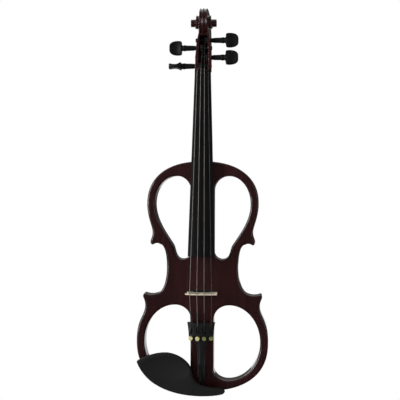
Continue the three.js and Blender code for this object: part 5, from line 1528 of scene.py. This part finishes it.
def makeChinrest():
    c = chin
    plate = slab("chin_plate", evened(chinOutline(), 1.2), -c["front"], c["front"] - c["under"],
                 c["edge"], 6)
    near, far, over = c["waist"][0], c["end"][0] + 3, -c["front"] - 1
    wedge = [(near, -c["front"]), (far, -c["wingFront"]), (far, over), (near, over)]
    slope = loft("wingSlope",
                 [[(x, y, z) for x, y in wedge] for z in (c["tail"][1] - 3, c["crest"][1] + 3)])
    carve(plate, [makeDish(), slope])
    feet = [block(f"foot{i}", x0, x1, -c["under"] - 3, -c["cork"], z0, z1)
            for i, (x0, x1, z0, z1) in enumerate(c["feet"])]
    carve(plate, feet, "UNION")
    mould(plate, c["voxel"], 8)
    settle(plate, "instrument", ["chinrest"], "chinPlastic", 60, False)

    inset = c["corkInset"]
    for name, (x0, x1, z0, z1) in zip(("bass", "treble"), c["feet"]):
        pad = block(f"cork_pad_{name}", x0 + inset, x1 - inset, -c["cork"], 0, z0 + inset, z1 - inset)
        roughen(pad, 0.12)
        settle(pad, "instrument", [f"chinrest_cork_{name}"], "cork")


# Cork is cut, so its edges crumble a little
def roughen(piece, amount):
    chamfer(piece, 0.35, 2, 40)
    mould(piece, 0.45, 0)
    texture = bpy.data.textures.new("crumble", "VORONOI")
    texture.noise_scale = 0.0022
    addModifier(piece, "DISPLACE", texture=texture, strength=-amount / 1000, mid_level=0.4,
                texture_coords="LOCAL")
    bake(piece)
    smooth(piece, 60, False)


# "rib" is a knurl's radius and length; "from" is where a barrel starts
clamp = {
    "x": 17, "z": -3.6, "rod": 1.5, "barrel": 2.8, "from": 2.6, "length": 20.8, "ribs": 14, "postY": -8.5,
    "bend": 3, "bottoms": {"bass": 8, "treble": 4.7}, "rib": (0.22, 5), "bore": 1.8, "keyhole": 0.95,
    "plate": (-21, 21, 28, 30, -6.6, 15), "cork": (-20.7, 20.7, 26, 28, 4.4, 15),
}


def makeClamp():
    c, z = clamp, clamp["z"]
    for side, (name, bottom) in zip((-1, 1), c["bottoms"].items()):
        x, y, turn = side * c["x"], c["postY"], c["bend"]
        corner = [(x, y + turn * (1 - math.cos(a)), z + turn * (1 - math.sin(a)))
                  for a in (math.pi / 2 * k / 10 for k in range(11))]
        post = tube(f"clamp_rod_{name}", [(x, y, bottom), (x, y, 2), *corner, (x, 2, z), (x, 9, z)],
                    c["rod"], 20)
        settle(post, "instrument", [f"clamp_post_{name}"], "steel", 40)

        start, end, r = c["from"], c["from"] + c["length"], c["barrel"] - 0.15
        barrel = turned(f"barrel_{name}", [
            (start, 1.9), (start, r - 0.3), (start + 0.4, r), (end - 0.4, r), (end, r - 0.3), (end, 1.9)],
            "y", (x, 0, z), 40, "steel")
        carve(barrel, [rod("bore", "y", c["bore"], 0, 30, (x, z), 32),
                       rod("keyhole", "x", c["keyhole"], x - 5, x + 5, ((start + end) / 2, z), 24)])
        chamfer(barrel, 0.12, 1, 50)
        smooth(barrel, 35)
        knurls = [
            ribRing(f"grip_{name}{k}", "y", (x, place, z), c["ribs"], c["barrel"] - 0.2, *c["rib"], "steel",
                    6)
            for k, place in enumerate((start + 4, end - 4))]
        piece = merge(f"clamp_turnbuckle_{name}", [barrel, *knurls])
        settle(piece, f"clamp_barrel_{name}", [f"clamp_barrel_{name}"])

    plate = block("clamp_plate", *c["plate"])
    chamfer(plate, 0.6, 3, 40)
    carve(plate, [rod(f"stud{k}", "y", c["rod"], 13, 29.5, (k * c["x"], z), 32) for k in (-1, 1)], "UNION")
    settle(plate, "clamp_foot", ["clamp_foot"], "steel", 35)
    pad = block("cork_pad_back", *c["cork"])
    roughen(pad, 0.12)
    settle(pad, "clamp_foot", ["clamp_cork"], "cork")


makeChinrest()
makeClamp()
print("chinrest and clamp made")


# Controls, jacks and battery

# "screw" and the jacks are profiles: places along the axis and radii there. "switchSlot" is half its width
# and half its height.
control = {
    "plate": (-49, 11, 23.8, 26, 146, 196), "z": 163.5, "volume": -33.5, "tone": -13.5, "switch": -0.5,
    "phone": (-5, 185),
    "screw": [(15.6, 0.0), (15.6, 0.4), (17, 1.2), (24.8, 1.2), (24.8, 2.4), (25.3, 2.4), (25.7, 2.1),
              (25.95, 1.5), (26, 0.0)],
    "knobFoot": 26.6, "knobTop": 35.6, "knob": 6.2, "ribs": 26, "rib": 0.34, "hole": 3.3, "sink": 2.7,
    "screwHole": 1.5, "switchSlot": (2.3, 4.8),
    "phoneJack": [(13.2, 1.8), (13.2, 3), (26, 3), (26, 4.25), (26.8, 4.25), (27.1, 4.0), (27.2, 3.5),
                  (27.2, 2.2), (27.0, 1.8), (14.4, 1.8), (14.4, 0.0)],
    "cableJack": [(-24.2, 0.0), (-24.2, 4.5), (-53.2, 4.5), (-53.2, 6.6), (-54.2, 6.6), (-54.55, 6.3),
                  (-54.7, 5.8), (-54.7, 3.7), (-54.4, 3.25), (-25.7, 3.25), (-25.7, 0.0)],
}


def makePlate():
    c = control
    x, z = c["switch"], c["z"]
    plate = block("back_plate", *c["plate"])
    wide, high = c["switchSlot"]
    tools = [block("switchSlot", x - wide, x + wide, 0, 30, z - high, z + high)]
    tools += [rod(f"hole{i}", "y", c["hole"], 0, 30, place, 32)
              for i, place in enumerate(((c["volume"], z), (c["tone"], z), c["phone"]))]
    for i, place in enumerate(plateScrews):
        tools += [rod(f"sink{i}", "y", c["sink"], 24.5, 30, place, 32),
                  rod(f"through{i}", "y", c["screwHole"], 0, 30, place, 20)]
    carve(plate, tools)
    chamfer(plate, 0.35, 2, 50)
    settle(plate, "instrument", ["control_plate"], "blackPlastic", 35)

    screw = turned("screwPart", c["screw"], "y", (0, 0, 0), 32)
    carve(screw, [block("crossA", -1.5, 1.5, 25.2, 27, -0.25, 0.25),
                  block("crossB", -0.25, 0.25, 25.2, 27, -1.5, 1.5)])
    (left, low), (right, high) = plateScrews[0], plateScrews[-1]
    piece = partRows("plate_screws", screw, 2, [(left, 0, low), (left, 0, high)], (right - left, 0, 0),
                     "steel")
    settle(piece, "instrument", [f"plate_screw_{i}" for i in range(1, 5)], None, 35)


def makeKnob(node, x):
    c = control
    low, high, r, z = c["knobFoot"], c["knobTop"], c["knob"], c["z"]
    knob = turned(f"{node}_core", [
        (13.6, 0.0), (13.6, 3), (low, 3), (low, r + 0.2), (low + 1.2, r + 0.25), (low + 1.5, r),
        (high - 1.6, r * 0.96), (high - 0.5, r * 0.88), (high - 0.1, r * 0.76), (high, r * 0.62),
        (high - 0.25, r * 0.56), (high - 0.3, 0.0)],
        "y", (x, 0, z), 56, "blackPlastic")
    smooth(knob, 35)
    ribs = ribRing(f"{node}_ribs", "y", (x, (low + high) / 2 + 0.2, z), c["ribs"], r * 0.97, c["rib"],
                   high - low - 3.2, "blackPlastic")
    smooth(ribs, 50, False)
    mark = block(f"{node}_mark", x - 0.35, x + 0.35, high - 0.5, high + 0.08, z + 1.6, z + 5, "whitePaint")
    chamfer(mark, 0.1, 2, 40)
    settle(merge(f"{node}_cap", [knob, ribs, mark]), node, [node])


def makeSwitch():
    x, rest = control["switch"], control["z"] - 2
    base = block("switch_base", x - 4, x + 4, 20.3, 23.5, rest - 5, rest + 5, "blackPlastic")
    carve(base, [block("switch_stem", x - 2, x + 2, 20.3, 28.5, rest - 2.5, rest + 2.5)], "UNION")
    chamfer(base, 0.3, 3, 40)
    smooth(base, 35)
    part = rod("ridgePart", "x", 0.28, -1.8, 1.8, (0, 0), 10)
    ridges = partRows("switch_ridges", part, 5, [(x, 28.45, rest - 1.6)], (0, 0, 0.8), "blackPlastic")
    settle(merge("switch_slider", [base, ridges]), "power_switch", ["power_switch"])


def makeJacks():
    x, z = control["phone"]
    for name, profile, axis, origin, sides, node in (
            ("phone_socket", "phoneJack", "y", (x, 0, z), 48, "headphone_jack"),
            ("cable_socket", "cableJack", "x", (0, 14, 184.5), 56, "output_jack")):
        jack = tidyMesh(turned(name, control[profile], axis, origin, sides))
        settle(jack, "instrument", [node], "jackSteel", 35)


battery = {
    "x": 35.2, "half": 13.25, "back": 23.9, "deep": 17.5, "bottom": 147, "top": 193.1, "terminals": 6.6,
    "terminal": [(190.7, 3.2), (195.2, 3.2), (195.5, 2.9), (195.5, 1.9), (194.4, 1.7), (194.4, 0.0)],
    "doorHalf": 14.6, "doorBottom": 144.65, "doorTop": 198.75, "doorDepth": (24.2, 26), "roll": 0.9,
}


def makeBattery():
    b = battery
    x, back = b["x"], b["back"]
    can = block("battery_can", x - b["half"], x + b["half"], back - b["deep"], back, b["bottom"], b["top"],
                "batteryCan")
    chamfer(can, 1.8, 4, 40)
    posts = [turned(f"terminal{k}", b["terminal"], "z", (x + k * b["terminals"], back - b["deep"] / 2, 0),
                    32, "steel")
             for k in (-1, 1)]
    for part in (can, *posts):
        smooth(part, 35)
    settle(merge("block_battery", [can, *posts]), "instrument", ["battery"])

    left, right, low, high = x - b["doorHalf"], x + b["doorHalf"], b["doorBottom"], b["doorTop"]
    door = block("door_leaf", left, right, *b["doorDepth"], low, high, "blackPlastic")
    carve(door, [rod("doorRoll", "x", b["roll"], left, right, (sum(b["doorDepth"]) / 2, low), 32)], "UNION")
    carve(door, [rod("thumbNotch", "x", 2, x - 4.5, x + 4.5, (27, high), 32)])
    chamfer(door, 0.25, 2, 50)
    smooth(door, 35)
    part = rod("ribPart", "x", 0.35, -6, 6, (0, 0), 10)
    ribs = partRows("door_ribs", part, 5, [(x, b["doorDepth"][1], high - 11.5)], (0, 0, 1.6),
                    "blackPlastic")
    settle(merge("battery_hatch", [door, ribs]), "battery_door", ["battery_door"])


makePlate()
makeKnob("volume_knob", control["volume"])
makeKnob("tone_knob", control["tone"])
makeSwitch()
makeJacks()
makeBattery()
nodes["circuit_board"].data.materials.clear()
nodes["circuit_board"].data.materials.append(looks["boardGreen"])
print("controls and battery made")


# Floor, backdrop and light

# The camera sees white. Rays of gloss and glass see white where they run far to the back and up, "behind"
# and "above" being the shares of their direction where that starts and is full. Other gloss sees the room,
# dim in front and less so around.
studio = {
    "floor": -0.9, "size": 12, "paper": (0.8, 0.8, 0.8), "front": 0.03, "around": 0.07, "plain": 0.22,
    "behind": (0.2, 0.3), "above": (0.3, 0.45), "paperBehind": 1.2,
}
# Each row: place and aim in metres, size, power, whether it lights only what is matt
lamps = {
    "keySoft": ((-2.2, -1.7, 0.1), (0, 0, -0.25), (0.5, 1.6), 40, False),
    "fillSoft": ((2.3, -1.6, 0.1), (0, 0, -0.3), (0.4, 1.6), 7, False),
    "topSoft": ((0, -0.9, 1.8), (0, 0, 0), (1.2, 0.6), 1.5, False),
    "frontSoft": ((0.3, -2.6, 0.2), (0, 0, -0.25), (1.6, 1.6), 14, True),
    "sideSoft": ((2.4, 0.9, 0.2), (0, 0, -0.27), (1.2, 1.6), 14, True),
    "backSoft": ((-1.9, 1.9, 0.5), (0, 0, -0.27), (1.2, 1.4), 22, False),
}


def makeSky():
    world = bpy.data.worlds.new("studio")
    bpy.context.scene.world = world
    world.use_nodes = True
    sky = Graph(world.node_tree)
    camera, glossy, through, matt = sky.rays("Camera", "Glossy", "Transmission", "Diffuse")
    ahead = sky.node("ShaderNodeTexCoord", {}, {}, "Generated")
    room = sky.spread(sky.axis("Y", ahead), studio["front"], studio["around"], -0.9, 0.1)
    behind = sky.spread(sky.axis("Y", ahead), 0, 1, *studio["behind"])
    above = sky.spread(sky.axis("Z", ahead), 0, 1, *studio["above"])
    dim, white = (sky.node("ShaderNodeBackground", {}, {"Color": (1, 1, 1), "Strength": strength})
                  for strength in (studio["plain"] * matt + room, 1))
    shown = (glossy + through) * behind * above + camera
    seen = sky.node("ShaderNodeMixShader", {}, {0: shown, 1: dim, 2: white})
    sky.node("ShaderNodeOutputWorld", {}, {0: seen}, None)


def makeFloor():
    half, low = studio["size"] / 2, studio["floor"]
    mesh = bpy.data.meshes.new("studio_floor")
    mesh.from_pydata([(-half, -half, low), (half, -half, low), (half, half, low), (-half, half, low)], [],
                     [(0, 1, 2, 3)])
    floor = linked("studio_floor", mesh)
    mesh.materials.append(makePaper())


def makeLamps():
    for name, (place, aim, size, power, mattOnly) in lamps.items():
        light = bpy.data.lights.new(name, "AREA")
        light.shape = "RECTANGLE"
        light.size, light.size_y = size
        light.energy = power
        holder = linked(name, light)
        holder.visible_glossy = not mattOnly
        holder.location = place
        holder.rotation_euler = (Vector(aim) - Vector(place)).to_track_quat("-Z", "Y").to_euler()


# The floor is white to the camera, still takes the shadow near the violin, and is dim in the front of its
# gloss
def makePaper():
    finish, paper = Finish("paper"), studio["paper"]
    mottle = finish.noise(finish.place((3, 3, 3)), 1, 2)
    finish.set(colour=finish.mix(mottle, paper, tuple(0.98 * c for c in paper)), roughness=0.9)
    away = finish.node("ShaderNodeVectorMath", {"operation": "LENGTH"}, {0: finish.place()}, "Value")
    bare = finish.ramp(away - 1, [(0.1, (0.7, 0.7, 0.7)), (0.5, (1, 1, 1))])
    camera, glossy, through = finish.rays("Camera", "Glossy", "Transmission")
    beyond = finish.axis("Y", finish.place()).above(studio["paperBehind"])
    seen = Wire(finish, finish.shader.outputs[0])
    for share, strength in (
            ((camera + (glossy + through) * beyond) * bare, 1), (glossy * (1 - beyond), studio["front"])):
        glow = finish.node("ShaderNodeEmission", {}, {"Strength": strength})
        seen = finish.node("ShaderNodeMixShader", {}, {0: share, 1: seen, 2: glow})
    finish.feed(finish.output.inputs[0], seen)
    return finish.material


makeSky()
makeFloor()
makeLamps()
bpy.context.scene.view_settings.view_transform = "Standard"
print("studio made")
